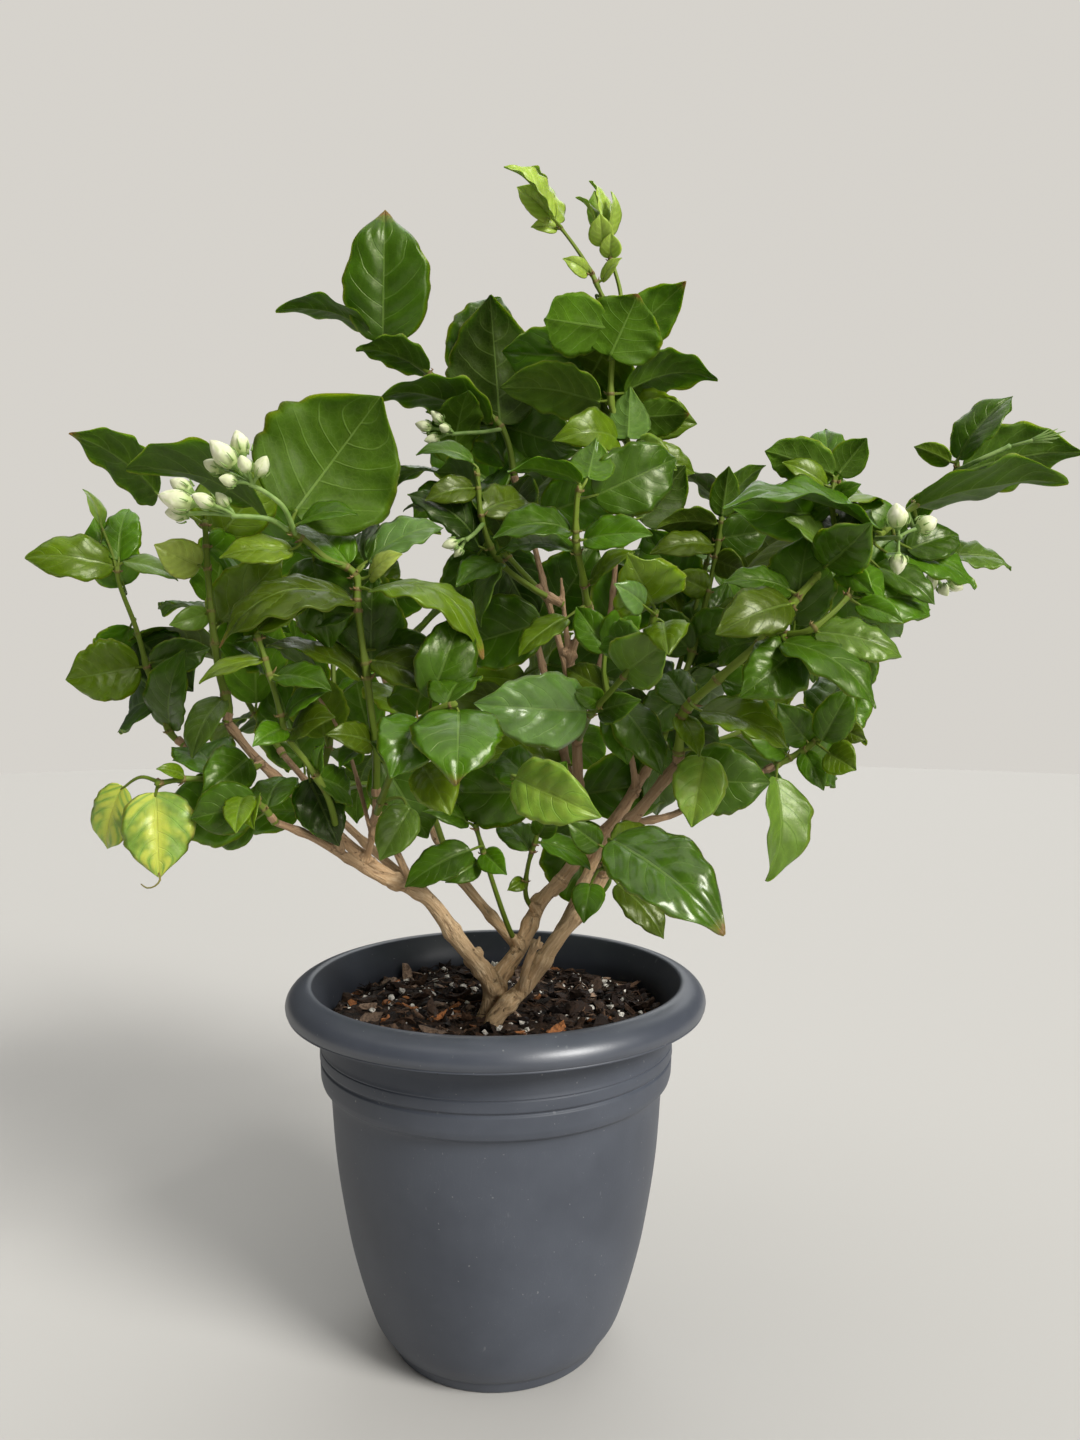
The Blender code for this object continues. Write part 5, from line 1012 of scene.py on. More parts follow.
def margin(form, share, reach, seed, mark, crisp):
    """Half width of a blade, and its reach with scallops, waves and a pinched tip."""
    scallop = np.abs(np.sin(math.pi * vein_phase(share, np.sign(reach), mark)))
    half = form["width"] * 0.5 * half_width(share)
    waved = half * (1.0 + SCALLOP * crisp * (scallop - 0.6) * smooth_step(0.05, 0.2, share))
    waved = waved * (1.0 + SLOW_WAVE * crisp * np.sin(15.0 * share + seed + 2.0 * reach))
    waved = waved * (1.0 + QUICK_WAVE * crisp * np.sin(43.0 * share + 2.7 * seed + 3.0 * reach))
    waved = waved * (1.0 - TIP_PINCH * smooth_step(0.78, 0.96, share))
    return half, waved * (1.0 + LOPSIDED * math.sin(5.0 * seed) * reach)


def blade_lift(form, index, share, reach, half, seed, mark, crisp):
    """Height of a blade over its chord: fold, waves, droop, quilt between the veins, and bow."""
    far = np.abs(reach)
    stations = stations_of(form)
    order = np.interp(share, [0.0, *stations, 1.0], [-0.4, *range(len(stations)), len(stations) - 0.5])
    lift = form["fold"] * half * (np.sqrt(reach ** 2 + 0.03) - 0.173) / 0.842
    lift += form["wave"] * half * np.where(reach < 0.0, *margin_waves(order, index, np.sin)) * far ** 1.6
    ripple = np.sin((20.0 + 6.0 * math.sin(seed)) * share + 2.3 * seed + 1.2 * reach)
    lift += RIPPLE * crisp * form["width"] * ripple * far ** 3 * smooth_step(0.0, 0.2, share)
    droop = np.where(reach < 0.0, math.sin(3.1 * seed), math.sin(4.3 * seed + 1.0))
    lift -= DROOP * (0.5 + droop) * half * far ** 2
    swell = np.abs(np.sin(math.pi * vein_phase(share, reach, mark))) ** 0.7
    fade = smooth_step(0.03, 0.25, far) * (1.0 - far ** 4) * smooth_step(0.02, 0.15, share)
    fade *= 1.0 - smooth_step(0.80, 1.0, share)
    quilt = 0.030 + 0.016 * math.sin(2.2 * seed) + 0.018 * form["gloss"]
    lift += (quilt * form["width"] + 0.0001) * crisp * swell * fade
    lift -= GROOVE * np.exp(-(reach * half / 0.0012) ** 2)
    length = (form["tip"] - form["base"]).length
    bow = form["arch"] * length * 4.0 * share * (1.0 - share)
    bow -= TIP_BEND * length * smooth_step(0.72, 1.0, share)
    return lift + bow


def blade_faces(rows, columns, below):
    """Faces and material slots of both skins; `below` has the lower skin's own points."""
    def under(row, column):
        """Point of the lower skin, which has the upper's along the margin."""
        return below.get((row, column), row * columns + column)

    foot = rows * columns + len(below)
    tip = foot + 1
    last = (rows - 1) * columns
    faces = []
    for column in range(columns - 1):
        for row in range(rows - 1):
            low, high = row * columns + column, (row + 1) * columns + column
            faces.append((low, low + 1, high + 1, high))
            faces.append((under(row, column), under(row + 1, column),
                          under(row + 1, column + 1), under(row, column + 1)))
        faces.append((column + 1, column, foot))
        faces.append((under(0, column), under(0, column + 1), foot))
        faces.append((last + column, last + column + 1, tip))
        faces.append((under(rows - 1, column + 1), under(rows - 1, column), tip))
    return faces, [0, 1] * (len(faces) // 2)


def blade_skins(form, index, share, reach, mark):
    """Half width, and the points of the upper and lower skin at shares and reaches of a blade."""
    axis = form["tip"] - form["base"]
    length = axis.length
    axis = np.array(axis / length)
    normal = np.array(form["normal"])
    across = np.cross(axis, normal)
    across /= np.linalg.norm(across)
    far = np.abs(reach)
    seed = index * SEED_STEP
    crisp = min(1.0, length / CRISP_LEAF) ** 2

    half, waved = margin(form, share, reach, seed, mark, crisp)
    lift = blade_lift(form, index, share, reach, half, seed, mark, crisp)
    back = -form["heart"] * half * far ** 1.5 * np.exp(-share / 0.09)
    middle = np.array(form["base"]) + axis * ((length * share + back)[..., None])
    middle = middle + across * (waved * reach)[..., None]
    middle = middle + normal * lift[..., None]
    wobble = np.array([[noise.noise(Vector(point) * 38.0) for point in row] for row in middle])
    middle = middle + normal * (WOBBLE * crisp * wobble * smooth_step(0.0, 0.3, share))[..., None]
    ridge = RIDGE * np.exp(-(reach * half / 0.0009) ** 2) * (1.0 - share) ** 0.6
    skin = BLADE_THICKNESS * 0.5 * (1.0 - far ** 6)
    return half, middle + normal * skin[..., None], middle - normal * (skin + ridge)[..., None]


def blade(growth, form, index, tone):
    """One leaf blade: an upper and a lower skin that meet at the margin, quilted by its veins."""
    chord = form["tip"] - form["base"]
    rows, columns = FINE_GRID if chord.length > LARGE_LEAF else SMALL_GRID
    share, reach = np.meshgrid(
        (np.arange(rows) + 0.35) / (rows - 0.3), np.linspace(-1.0, 1.0, columns), indexing="ij")
    mark = (index * SEED_STEP * 0.37) % 1.0
    half, upper, lower = blade_skins(form, index, share, reach, mark)
    points = [Vector(point) for point in upper.reshape(-1, 3)]
    place = list(zip(reach.ravel(), share.ravel(), half.ravel()))
    below = {}
    for row, column in itertools.product(range(rows), range(1, columns - 1)):
        below[row, column] = len(points)
        points.append(Vector(lower[row, column]))
        place.append((reach[row, column], share[row, column], half[row, column]))
    points.append(form["base"] - chord / chord.length * 0.0003)
    points.append(form["tip"] - form["normal"] * (TIP_BEND * chord.length))
    place.extend([PLAIN, (0.0, 1.0, 0.0)])
    faces, slots = blade_faces(rows, columns, below)
    marks = (form["brown"], PATCHY.get(form["tone"], 0.0), mark)
    growth.add(points, faces, slots, place, tone, marks, form["gloss"])


def leaf_stalk(growth, form, curve, tone):
    """Stalk that curves from the stem to the blade's foot."""
    start = min(curve, key=lambda point: (point - form["root"]).length_squared)
    axis = (form["tip"] - form["base"]).normalized()
    reach = (form["base"] - start).length
    knee = start.lerp(form["base"] - axis * reach * 0.45, 0.5)
    points = smooth_path([start, knee.lerp(form["base"], 0.15), form["base"] + axis * 0.002])
    size = STALK_RADIUS * (1.15 if form["width"] > BROAD_LEAF else 0.85)
    radii = path_radii(
        points, lambda share: size * (1.35 - 0.55 * share + 0.5 * math.exp(-share * 9.0)))
    sweep(growth, points, radii, STALK_SIDES, 2, tone, STEM_MARKS)


def stem_tube(growth, points, radii, forms, tone):
    """Green stem, a little thicker where its leaves stand."""
    curve = smooth_path(points, STEM_STEP)
    roots = [form["root"] for form, _ in forms]
    swollen = []
    for point, size in zip(curve, path_radii(curve, tapered(*radii))):
        near = min((point - root).length for root in roots) if roots else 1.0
        swollen.append(size * (1.0 + NODE_SWELLING * math.exp(-(near / NODE_LENGTH) ** 2)))
    swollen[0] *= 1.3
    sweep(growth, curve, swollen, STEM_SIDES, 2, tone, STEM_MARKS)
    make_nodes(growth, curve, swollen, roots)
    return curve


def tapered(first, last):
    """Function that gives the radius at a share of a length."""
    return lambda share: first + (last - first) * share


def make_nodes(growth, curve, radii, roots):
    """Brown ring and a few withered scales at each place of a stem where leaves stand."""
    rng = random.Random(len(curve))
    done = []
    for root in roots:
        index = min(range(1, len(curve) - 1), key=lambda place: (curve[place] - root).length_squared,
                    default=0)
        centre, radius = curve[index], radii[index]
        too_far = (centre - root).length > 3.0 * radius
        if index == 0 or too_far or any((centre - other).length < NODE_SPACING for other in done):
            continue
        done.append(centre)
        along = (curve[index + 1] - centre).normalized()
        ring = [centre - along * 0.0011, centre, centre + along * 0.0009]
        sweep(growth, ring, [radius * 0.98, radius * 1.07, radius * 0.96], 12, 2, NODE_TONE, STEM_MARKS)
        side = along.orthogonal().normalized()
        for _ in range(rng.choice((1, 2, 3, 3))):
            out = Matrix.Rotation(rng.uniform(0.0, math.tau), 3, along) @ side
            foot = centre + out * radius * 0.9
            knee = foot + (out + along * rng.uniform(-0.3, 0.9)) * rng.uniform(0.0008, 0.0016)
            end = knee + (out * rng.uniform(-0.2, 1.0) + along) * rng.uniform(0.0006, 0.0018)
            sweep(growth, [foot, knee, end], [0.0006, 0.0005, 0.00015], 5, 2, SCALE_TONE, STEM_MARKS)


def make_shoot(name, radii, stem, twigs, forms, materials):
    """One leafy shoot: stem, twigs, stalks and blades."""
    growth = Growth()
    rng = random.Random(name)
    stem_tone = YOUNG_STEM_TONE if name in YOUNG_STEMS else STEM_TONE
    curve = stem_tube(growth, stem, radii, forms, stem_tone)
    for twig in twigs:
        curve = curve + stem_tube(growth, twig, (radii[1] * 0.95, radii[1] * 0.62), forms, stem_tone)
    for form, index in forms:
        tone = form["tone"] or rng.choice(ORDINARY)
        shade = 0.88 + 0.24 * rng.random()
        leaf_stalk(growth, form, curve, stem_tone)
        blade(growth, form, index, [part * shade for part in tone])
    if name == TENDRIL_SHOOT:
        curl = smooth_path(TENDRIL)
        sweep(growth, curl, path_radii(curl, tapered(0.0006, 0.0003)), 6, 2, SCALE_TONE, STEM_MARKS)
    return growth.finish(name + "_fine", materials, "leaf", name)


def make_inner_leaves(plans, materials):
    """Further leaves on the same wood and stems, deeper in the bush."""
    carriers = {name: [points] for name, points, _, _ in WOOD}
    for name, _, _, stem, twigs, _ in plans:
        carriers[name] = [stem_after_spur(stem, spur_length(stem)), *twigs]
    growth = Growth()
    index = len(plans) * INNER_NUMBERS
    for name, leaves in INNER_LEAVES.items():
        for item in leaves:
            root = stem_point(carriers[name], *item["base"])
            depth = root.y + DEEPER if item["y"] is None else item["y"]
            form = seen_leaf({**item, "y": depth}, carriers[name])
            leaf_stalk(growth, form, [form["root"]], STEM_TONE)
            blade(growth, form, index, item["tone"])
            index += 1
    return growth.finish("inner_leaves", materials, "leaf")


class Shader:
    """Node material with one Principled shader, and short ways to add nodes to it."""

    def __init__(self, name, **constants):
        self.material = bpy.data.materials.new(name)
        self.material.use_nodes = True
        self.tree = self.material.node_tree
        self.principled = self.tree.nodes["Principled BSDF"]
        self.finish(**constants)

    def finish(self, **values):
        """Give the shader's sockets values or other nodes' outputs, and return the material."""
        for key, value in values.items():
            self.feed(self.principled.inputs[key.replace("_", " ")], value)
        return self.material

    def feed(self, socket, value):
        """Give a socket a value or another node's output."""
        if isinstance(value, bpy.types.NodeSocket):
            self.tree.links.new(value, socket)
        elif isinstance(value, tuple) and len(value) < len(socket.default_value):
            socket.default_value = (*value, 1.0)
        else:
            socket.default_value = value

    def node(self, kind, inputs=(), **settings):
        """Outputs of a new node that is set up and fed with values or other nodes' outputs."""
        result = self.tree.nodes.new("ShaderNode" + kind)
        for key, value in settings.items():
            setattr(result, key, value)
        for key, value in dict(inputs).items():
            self.feed(result.inputs[key], value)
        return result.outputs

    def math(self, operation, first, second=0.0, third=0.0):
        """Output of a Math node."""
        return self.node("Math", {0: first, 1: second, 2: third}, operation=operation)[0]

    def times(self, *factors):
        """Product of two or three values, the last two multiplied first."""
        *rest, product = factors
        for factor in reversed(rest):
            product = self.math("MULTIPLY", factor, product)
        return product

    def times_plus(self, first, second, third):
        """First times second, plus third."""
        return self.math("MULTIPLY_ADD", first, second, third)

    def smooth(self, value, low, high, start=0.0, stop=1.0):
        """Output that runs smoothly from start at low to stop at high."""
        return self.node(
            "MapRange", {"Value": value, "From Min": low, "From Max": high, "To Min": start,
                         "To Max": stop}, interpolation_type="SMOOTHSTEP")["Result"]

    def mix(self, factor, first, second, blend="MIX"):
        """Colour between two colours."""
        return self.node("Mix", {0: factor, 6: first, 7: second}, data_type="RGBA", blend_type=blend)[2]

    def cover(self, base, *coats):
        """Base colour under coats, each given as a mask and a colour."""
        for mask, colour in coats:
            base = self.mix(mask, base, colour)
        return base

    def noise(self, vector, scale, detail=2.0, roughness=0.5):
        """Output of a Noise texture, about 0.5 on average."""
        return self.node("TexNoise", {"Vector": vector, "Scale": scale, "Detail": detail,
                                      "Roughness": roughness})["Fac"]

    def attribute(self, name, output="Color"):
        """Value that the mesh holds at each point."""
        return self.node("Attribute", attribute_name=name)[output]

    def place(self):
        """Place in the object's own space, in metres."""
        return self.node("TexCoord")["Object"]

    def parts(self, vector):
        """The three parts of a vector."""
        return tuple(self.node("SeparateXYZ", {0: vector}))

    def scaled(self, vector, *factors):
        """Vector with its parts multiplied."""
        return self.node("VectorMath", {0: vector, 1: factors}, operation="MULTIPLY")[0]

    def shaded(self, colour, shade):
        """Colour made lighter or darker by a factor."""
        grey = self.node("CombineColor", {0: shade, 1: shade, 2: shade})[0]
        return self.mix(1.0, colour, grey, "MULTIPLY")

    def bump(self, height, strength, distance):
        """Normal bent by a height."""
        return self.node("Bump", {"Height": height, "Strength": strength, "Distance": distance})[0]


def vein_masks(shader, seed):
    """Places in a leaf: share, half width, reach across, and how near the midrib and veins are."""
    reach, share, half = shader.parts(shader.attribute("place", "Vector"))
    far = shader.math("ABSOLUTE", reach)
    distance = shader.times(far, half)
    width = shader.smooth(share, 0.0, 1.0, 0.0009, 0.0004)
    midrib = shader.smooth(shader.math("DIVIDE", distance, width), 0.5, 1.1, 1.0, 0.0)
    sign = shader.math("SIGN", reach)
    sweep = shader.times(far, shader.times_plus(far, VEIN_ARCH, VEIN_START))
    swept = shader.math("SUBTRACT", share, sweep)
    phase = shader.times_plus(sign, VEIN_OFFSET, shader.times(swept, VEIN_PAIRS))
    turn = shader.times_plus(share, 7.0, shader.times(seed, math.tau))
    phase = shader.times_plus(shader.math("SINE", turn), VEIN_UNEVEN, phase)
    offset = shader.math("ABSOLUTE", shader.math("SUBTRACT", phase, shader.math("ROUND", phase)))
    side = shader.smooth(offset, 0.010, 0.055, 1.0, 0.0)
    side = shader.times(side, shader.smooth(far, 0.60, 0.97, 1.0, 0.10))
    side = shader.times(side, shader.smooth(share, 0.02, 0.10))
    return share, half, far, midrib, side, offset


def leaf_ground(shader, upper, tone, place, fine):
    """Colour of a leaf between its veins, lighter and darker in clouds."""
    shade = shader.times(shader.smooth(shader.noise(place, 55.0), 0.25, 0.75, 0.78, 1.22),
                         shader.smooth(fine, 0.3, 0.7, 0.94, 1.06))
    return shader.shaded(tone if upper else shader.mix(0.30, tone, UNDER_LEAF), shade)


def leaf_blotches(shader, place, share, far, offset):
    """Mask of the yellow patches of a leaf that has them: in clouds, and along the midrib."""
    blotch = shader.smooth(shader.noise(place, 95.0, 2.0, 0.45), 0.36, 0.62)
    blotch = shader.times(blotch, shader.smooth(offset, 0.02, 0.34))
    glow = shader.times(shader.smooth(far, 0.45, 0.05), shader.smooth(share, 0.0, 0.30))
    return shader.times(shader.math("MAXIMUM", blotch, glow), 0.75)


def leaf_material(name, upper):
    """Leaf skin: coloured by its tone, with pale veins, worn tips and yellow patches."""
    shader = Shader(name, IOR=1.45, Specular_IOR_Level=0.40 if upper else 0.20,
                    Specular_Tint=LEAF_TINT, Coat_Roughness=0.22, Subsurface_Weight=0.35,
                    Subsurface_Radius=(0.7, 1.0, 0.15), Subsurface_Scale=0.0012)
    tone = shader.attribute("tone")
    brown, gold, seed = shader.node("SeparateColor", {0: shader.attribute("marks")})
    share, half, far, midrib, side, offset = vein_masks(shader, seed)
    place = shader.place()
    fine = shader.noise(place, 420.0, 3.0, 0.6)
    cells = shader.node("TexVoronoi", {"Vector": place, "Scale": 330.0}, feature="DISTANCE_TO_EDGE")
    net = shader.smooth(cells["Distance"], 0.02, 0.14, 1.0, 0.0)

    pale = shader.mix(0.50, tone, VEIN_TONE)
    size = shader.smooth(half, 0.008, 0.034, 0.55, 1.0)
    base = shader.cover(
        leaf_ground(shader, upper, tone, place, fine),
        (shader.times(shader.smooth(offset, 0.08, 0.40), 0.15), BETWEEN_VEINS),
        (shader.times(net, 0.03 if upper else 0.08), pale),
        (shader.times(side, size, 0.34 if upper else 0.42), pale),
        (shader.times(midrib, size, 0.62 if upper else 0.70), pale))
    blotch = leaf_blotches(shader, place, share, far, offset)
    ragged = shader.times_plus(fine, 0.09, share)
    dry = shader.times(shader.smooth(ragged, 0.985, 1.010), brown)
    halo = shader.times(shader.smooth(ragged, 0.93, 0.99), brown)
    base = shader.cover(
        base, (shader.times(blotch, gold), YELLOW_PATCH), (dry, DRY_TIP),
        (shader.times(halo, 0.30), DRY_EDGE),
        (shader.times(shader.smooth(far, 0.965, 1.0), 0.25), pale))

    gloss = shader.smooth(fine, 0.2, 0.8, *((0.29, 0.43) if upper else (0.50, 0.62)))
    relief = shader.math("MAXIMUM", midrib, shader.times(side, 0.7))
    height = shader.times_plus(net, 0.07, relief)
    if upper:
        height = shader.times(height, -1.0)
    wax = shader.attribute("marks", "Alpha")
    return shader.finish(
        Base_Color=base, Roughness=shader.math("MAXIMUM", gloss, shader.times(dry, 0.8)),
        Coat_Weight=shader.times_plus(wax, 0.60, 0.16 if upper else 0.02),
        Normal=shader.bump(shader.times_plus(fine, 0.12, height), 0.5, 0.0007))


def stem_material():
    """Young green stems, ribbed and flecked with brown."""
    shader = Shader("Stem green fine", IOR=1.45, Specular_IOR_Level=0.3, Specular_Tint=STEM_TINT)
    place = shader.place()
    angle = shader.parts(shader.attribute("place", "Vector"))[0]
    rib = shader.math("SINE", shader.times(angle, 4.0))
    speck = shader.smooth(shader.noise(place, 260.0), 0.62, 0.72)
    cloud = shader.smooth(shader.noise(place, 45.0), 0.3, 0.7, 0.0, 0.6)
    base = shader.cover(shader.attribute("tone"), (cloud, (0.170, 0.225, 0.035)),
                        (shader.times(speck, 0.55), (0.120, 0.075, 0.030)))
    height = shader.times_plus(shader.noise(place, 700.0), 0.5, rib)
    return shader.finish(
        Base_Color=base, Roughness=shader.smooth(cloud, 0.0, 0.6, 0.42, 0.58),
        Normal=shader.bump(height, 0.35, 0.0003))


def bark_material():
    """Pale tan bark with long fissures, grey patches and dark pits."""
    shader = Shader("Bark fine", IOR=1.45, Specular_IOR_Level=0.25)
    grain = shader.attribute("place", "Vector")
    place = shader.place()
    streak = shader.noise(shader.scaled(grain, 1.0, 0.10, 1.0), 900.0, 4.0, 0.65)
    coarse = shader.noise(shader.scaled(grain, 1.0, 0.25, 1.0), 260.0, 3.0, 0.6)
    patch = shader.noise(place, 40.0, 3.0)
    pits = shader.smooth(shader.noise(place, 330.0), 0.66, 0.78)
    base = shader.cover(
        (0.770, 0.505, 0.262),
        (shader.smooth(patch, 0.3, 0.7), (0.640, 0.440, 0.246)),
        (shader.smooth(streak, 0.46, 0.66, 0.0, 0.80), (0.900, 0.680, 0.420)),
        (shader.smooth(coarse, 0.46, 0.27, 0.0, 0.75), (0.150, 0.080, 0.036)),
        (shader.times(pits, 0.55), (0.150, 0.075, 0.035)),
        (shader.smooth(shader.parts(place)[2], 0.235, 0.32, 0.0, 0.68), (0.270, 0.160, 0.095)))
    height = shader.times_plus(pits, -0.8, shader.times_plus(coarse, 1.4, streak))
    return shader.finish(
        Base_Color=base, Roughness=shader.smooth(streak, 0.3, 0.7, 0.58, 0.80),
        Normal=shader.bump(height, 1.0, 0.0016))


def pot_material(name, shade):
    """Slate grey moulded plastic: satin, faintly mottled, with pale scuffs and dust. A shade below 1 makes
    a darker, duller copy whose darkness is painted shade.
    """
    shader = Shader(name, IOR=1.48)
    place = shader.place()
    mottle = shader.noise(place, 14.0, 4.0, 0.6)
    flow = shader.noise(shader.scaled(place, 1.0, 1.0, 0.12), 60.0, 3.0)
    grain = shader.noise(place, 900.0)
    scuff = shader.noise(shader.scaled(place, 1.0, 1.0, 0.45), 170.0, 2.0, 0.4)
    scuff = shader.smooth(scuff, 0.745, 0.785)
    hair = shader.noise(shader.scaled(place, 3.0, 3.0, 0.5), 90.0, 2.0, 0.4)
    hair = shader.smooth(shader.math("ABSOLUTE", shader.math("SUBTRACT", hair, 0.5)), 0.0, 0.004,
                         1.0, 0.0)
    hair = shader.times(hair, shader.smooth(mottle, 0.50, 0.62))
    dust = shader.smooth(shader.noise(place, 520.0, 1.0), 0.76, 0.80)
    # shade scales the plastic's colours; below 1 it paints shade on the inside wall
    dark, light = [tuple(part * shade for part in tone) for tone in PLASTIC]
    base = shader.cover(
        dark, (shader.smooth(mottle, 0.3, 0.7), light),
        (shader.smooth(flow, 0.35, 0.75, 0.0, 0.20), light), (shader.times(scuff, 0.35), SCUFF),
        (shader.times(hair, 0.16), SCUFF), (shader.times(dust, 0.35), DUST))
    rise = shader.parts(place)[2]
    gloss = shader.times_plus(mottle, 0.16, shader.smooth(rise, *RIM_RISE, 0.42, 0.28))
    return shader.finish(
        Base_Color=base, Roughness=shader.math("MAXIMUM", gloss, shader.times(scuff, 0.6)),
        Normal=shader.bump(grain, 0.12, 0.0003),
        # shade dims the shine as well: painted shade on the inside wall
        Specular_IOR_Level=shader.smooth(rise, *RIM_RISE, 0.42 * shade, 0.85 * shade))


def earth_material():
    """Dark moist potting mix."""
    shader = Shader("Soil fine", IOR=1.4, Specular_IOR_Level=0.3)
    place = shader.place()
    lumps = shader.noise(place, 150.0, 5.0, 0.7)
    grains = shader.noise(place, 650.0, 3.0, 0.6)
    base = shader.cover(
        (0.006, 0.004, 0.003), (shader.smooth(lumps, 0.35, 0.70), (0.045, 0.026, 0.016)),
        (shader.smooth(grains, 0.58, 0.75, 0.0, 0.7), (0.110, 0.065, 0.038)))
    return shader.finish(
        Base_Color=base, Roughness=shader.smooth(grains, 0.3, 0.7, 0.65, 0.95),
        Normal=shader.bump(shader.times_plus(grains, 0.5, lumps), 1.0, 0.0020))


def chip_material():
    """Bark chips, fibres and white grains, each of its own colour."""
    shader = Shader("Chips fine", IOR=1.4, Specular_IOR_Level=0.3)
    streak = shader.noise(shader.scaled(shader.place(), 1.0, 0.35, 1.0), 700.0, 4.0, 0.7)
    shade = shader.smooth(streak, 0.3, 0.7, 0.45, 1.35)
    return shader.finish(
        Base_Color=shader.shaded(shader.attribute("tone"), shade),
        Roughness=shader.smooth(streak, 0.3, 0.7, 0.55, 0.90),
        Normal=shader.bump(streak, 0.9, 0.0008))


def petal_material():
    """Waxy cream buds, greener towards the calyx and along the folds."""
    shader = Shader("Petal fine", IOR=1.42, Specular_IOR_Level=0.35)
    fold, share, _ = shader.parts(shader.attribute("place", "Vector"))
    cloud = shader.noise(shader.place(), 300.0)
    small = shader.node("SeparateColor", {0: shader.attribute("tone")})[0]
    green = shader.smooth(share, 0.05, 0.72, 0.85, 0.0)
    for mask in (small, fold):
        green = shader.math("MAXIMUM", green, shader.times(mask, 0.55))
    base = shader.cover((0.790, 0.785, 0.540), (shader.smooth(cloud, 0.3, 0.7), (0.880, 0.870, 0.660)),
                        (green, (0.430, 0.560, 0.160)))
    return shader.finish(
        Base_Color=base, Roughness=shader.smooth(cloud, 0.3, 0.7, 0.42, 0.55),
        Normal=shader.bump(cloud, 0.25, 0.0004))


def calyx_material():
    """Green calyx and flower stalks."""
    shader = Shader("Calyx fine", IOR=1.45, Specular_IOR_Level=0.4)
    cloud = shader.noise(shader.place(), 210.0, 3.0)
    return shader.finish(
        Base_Color=shader.mix(
            shader.smooth(cloud, 0.3, 0.7), (0.170, 0.290, 0.060), (0.270, 0.390, 0.110)),
        Roughness=shader.smooth(cloud, 0.3, 0.7, 0.45, 0.60),
        Normal=shader.bump(cloud, 0.4, 0.0004))


def branch_radii(lengths, first, last, seed):
    """Radii along a woody branch, with a swelling at each leaf scar."""
    radii = []
    for along in lengths:
        even = first + (last - first) * (along / lengths[-1])
        scar = (along / SCAR_SPACING + seed) % 1.0 - 0.5
        swelling = SCAR_SWELLING * math.exp(-(scar * SCAR_SPACING / SCAR_WIDTH) ** 2)
        rough = BARK_UNEVEN * noise.noise(Vector((along * 90.0, seed, 0.0)))
        radii.append(even * (1.0 + swelling + rough))
    return radii


def wood_limbs(plans):
    """Points, first and last radius of every branch, of the crown and of the spurs."""
    crown = [CROWN - UP * CROWN_DEPTH, CROWN, CROWN + CROWN_TOP]
    limbs = [(crown, CROWN_RADIUS, CROWN_RADIUS * CROWN_TAPER)]
    limbs += [(points, first / PER_METRE * SLIMMER, last / PER_METRE * SLIMMER)
              for _, points, first, last in WOOD]
    limbs += [(points, *SPLINTER_RADII) for points in SPLINTERS]
    for _, carrier, radii, stem, _, _ in plans:
        if carrier == "wood":
            end = stem[0] + (stem[1] - stem[0]).normalized() * spur_length(stem)
            limbs.append(([stem[0], end], *[radii[0] * swelling for swelling in SPUR_SWELLING]))
    return limbs


def burr(growth, centre, radius, seed):
    """Knobby outgrowth on a branch."""
    points, faces = ball(3, radius)
    lumps = [noise.noise(point * (0.9 / radius) + Vector((seed * 7.0, 0.0, 0.0))) for point in points]
    points = [centre + point * (1.0 + BURR_LUMPS * lump) for point, lump in zip(points, lumps)]
    growth.add(points, faces)


def make_wood(plans, bark):
    """Branches, crown, knots and spurs run together into one skin of bark."""
    rough = Growth()
    rulers = []
    for seed, (points, first, last) in enumerate(wood_limbs(plans)):
        curve = smooth_path(points, STEM_STEP)
        lengths = path_lengths(curve)
        sweep(rough, curve, branch_radii(lengths, first, last, seed * 0.37), BRANCH_SIDES)
        rulers += zip(curve, curve[1:], lengths)
    for seed, (u, v, y, radius) in enumerate(KNOTS + BURRS):
        burr(rough, *path((u, v, y)), radius / PER_METRE * SLIMMER, seed)
    guide = linked("wood_rough", rough.mesh("wood_rough"))
    remesh = guide.modifiers.new("One skin", "REMESH")
    remesh.mode = "VOXEL"
    remesh.voxel_size = BARK_VOXEL
    guide.modifiers.new("Soften", "SMOOTH").iterations = 3
    skin = applied(guide, "wood_fine", bark)
    skin.shade_smooth()
    measure_grain(skin, rulers)
    return placed_piece("wood_fine", skin, "bark", "wood")


def measure_grain(skin, rulers):
    """Give each point of the bark its place round and along its branch, for the fissures."""
    tree = search_tree([first for first, _, _ in rulers])
    grain = []
    for vertex in skin.vertices:
        first, second, along = rulers[tree.find(vertex.co)[1]]
        direction = (second - first).normalized()
        offset = vertex.co - first
        side = direction.cross(Vector((0.21, 0.13, 0.97))).normalized()
        other = direction.cross(side)
        flat = offset - direction * offset.dot(direction)
        angle = math.atan2(flat.dot(other), flat.dot(side))
        radius = flat.length
        grain += [math.cos(angle) * radius, along + offset.dot(direction), math.sin(angle) * radius]
    skin.attributes.new("place", "FLOAT_VECTOR", "POINT").data.foreach_set("vector", grain)


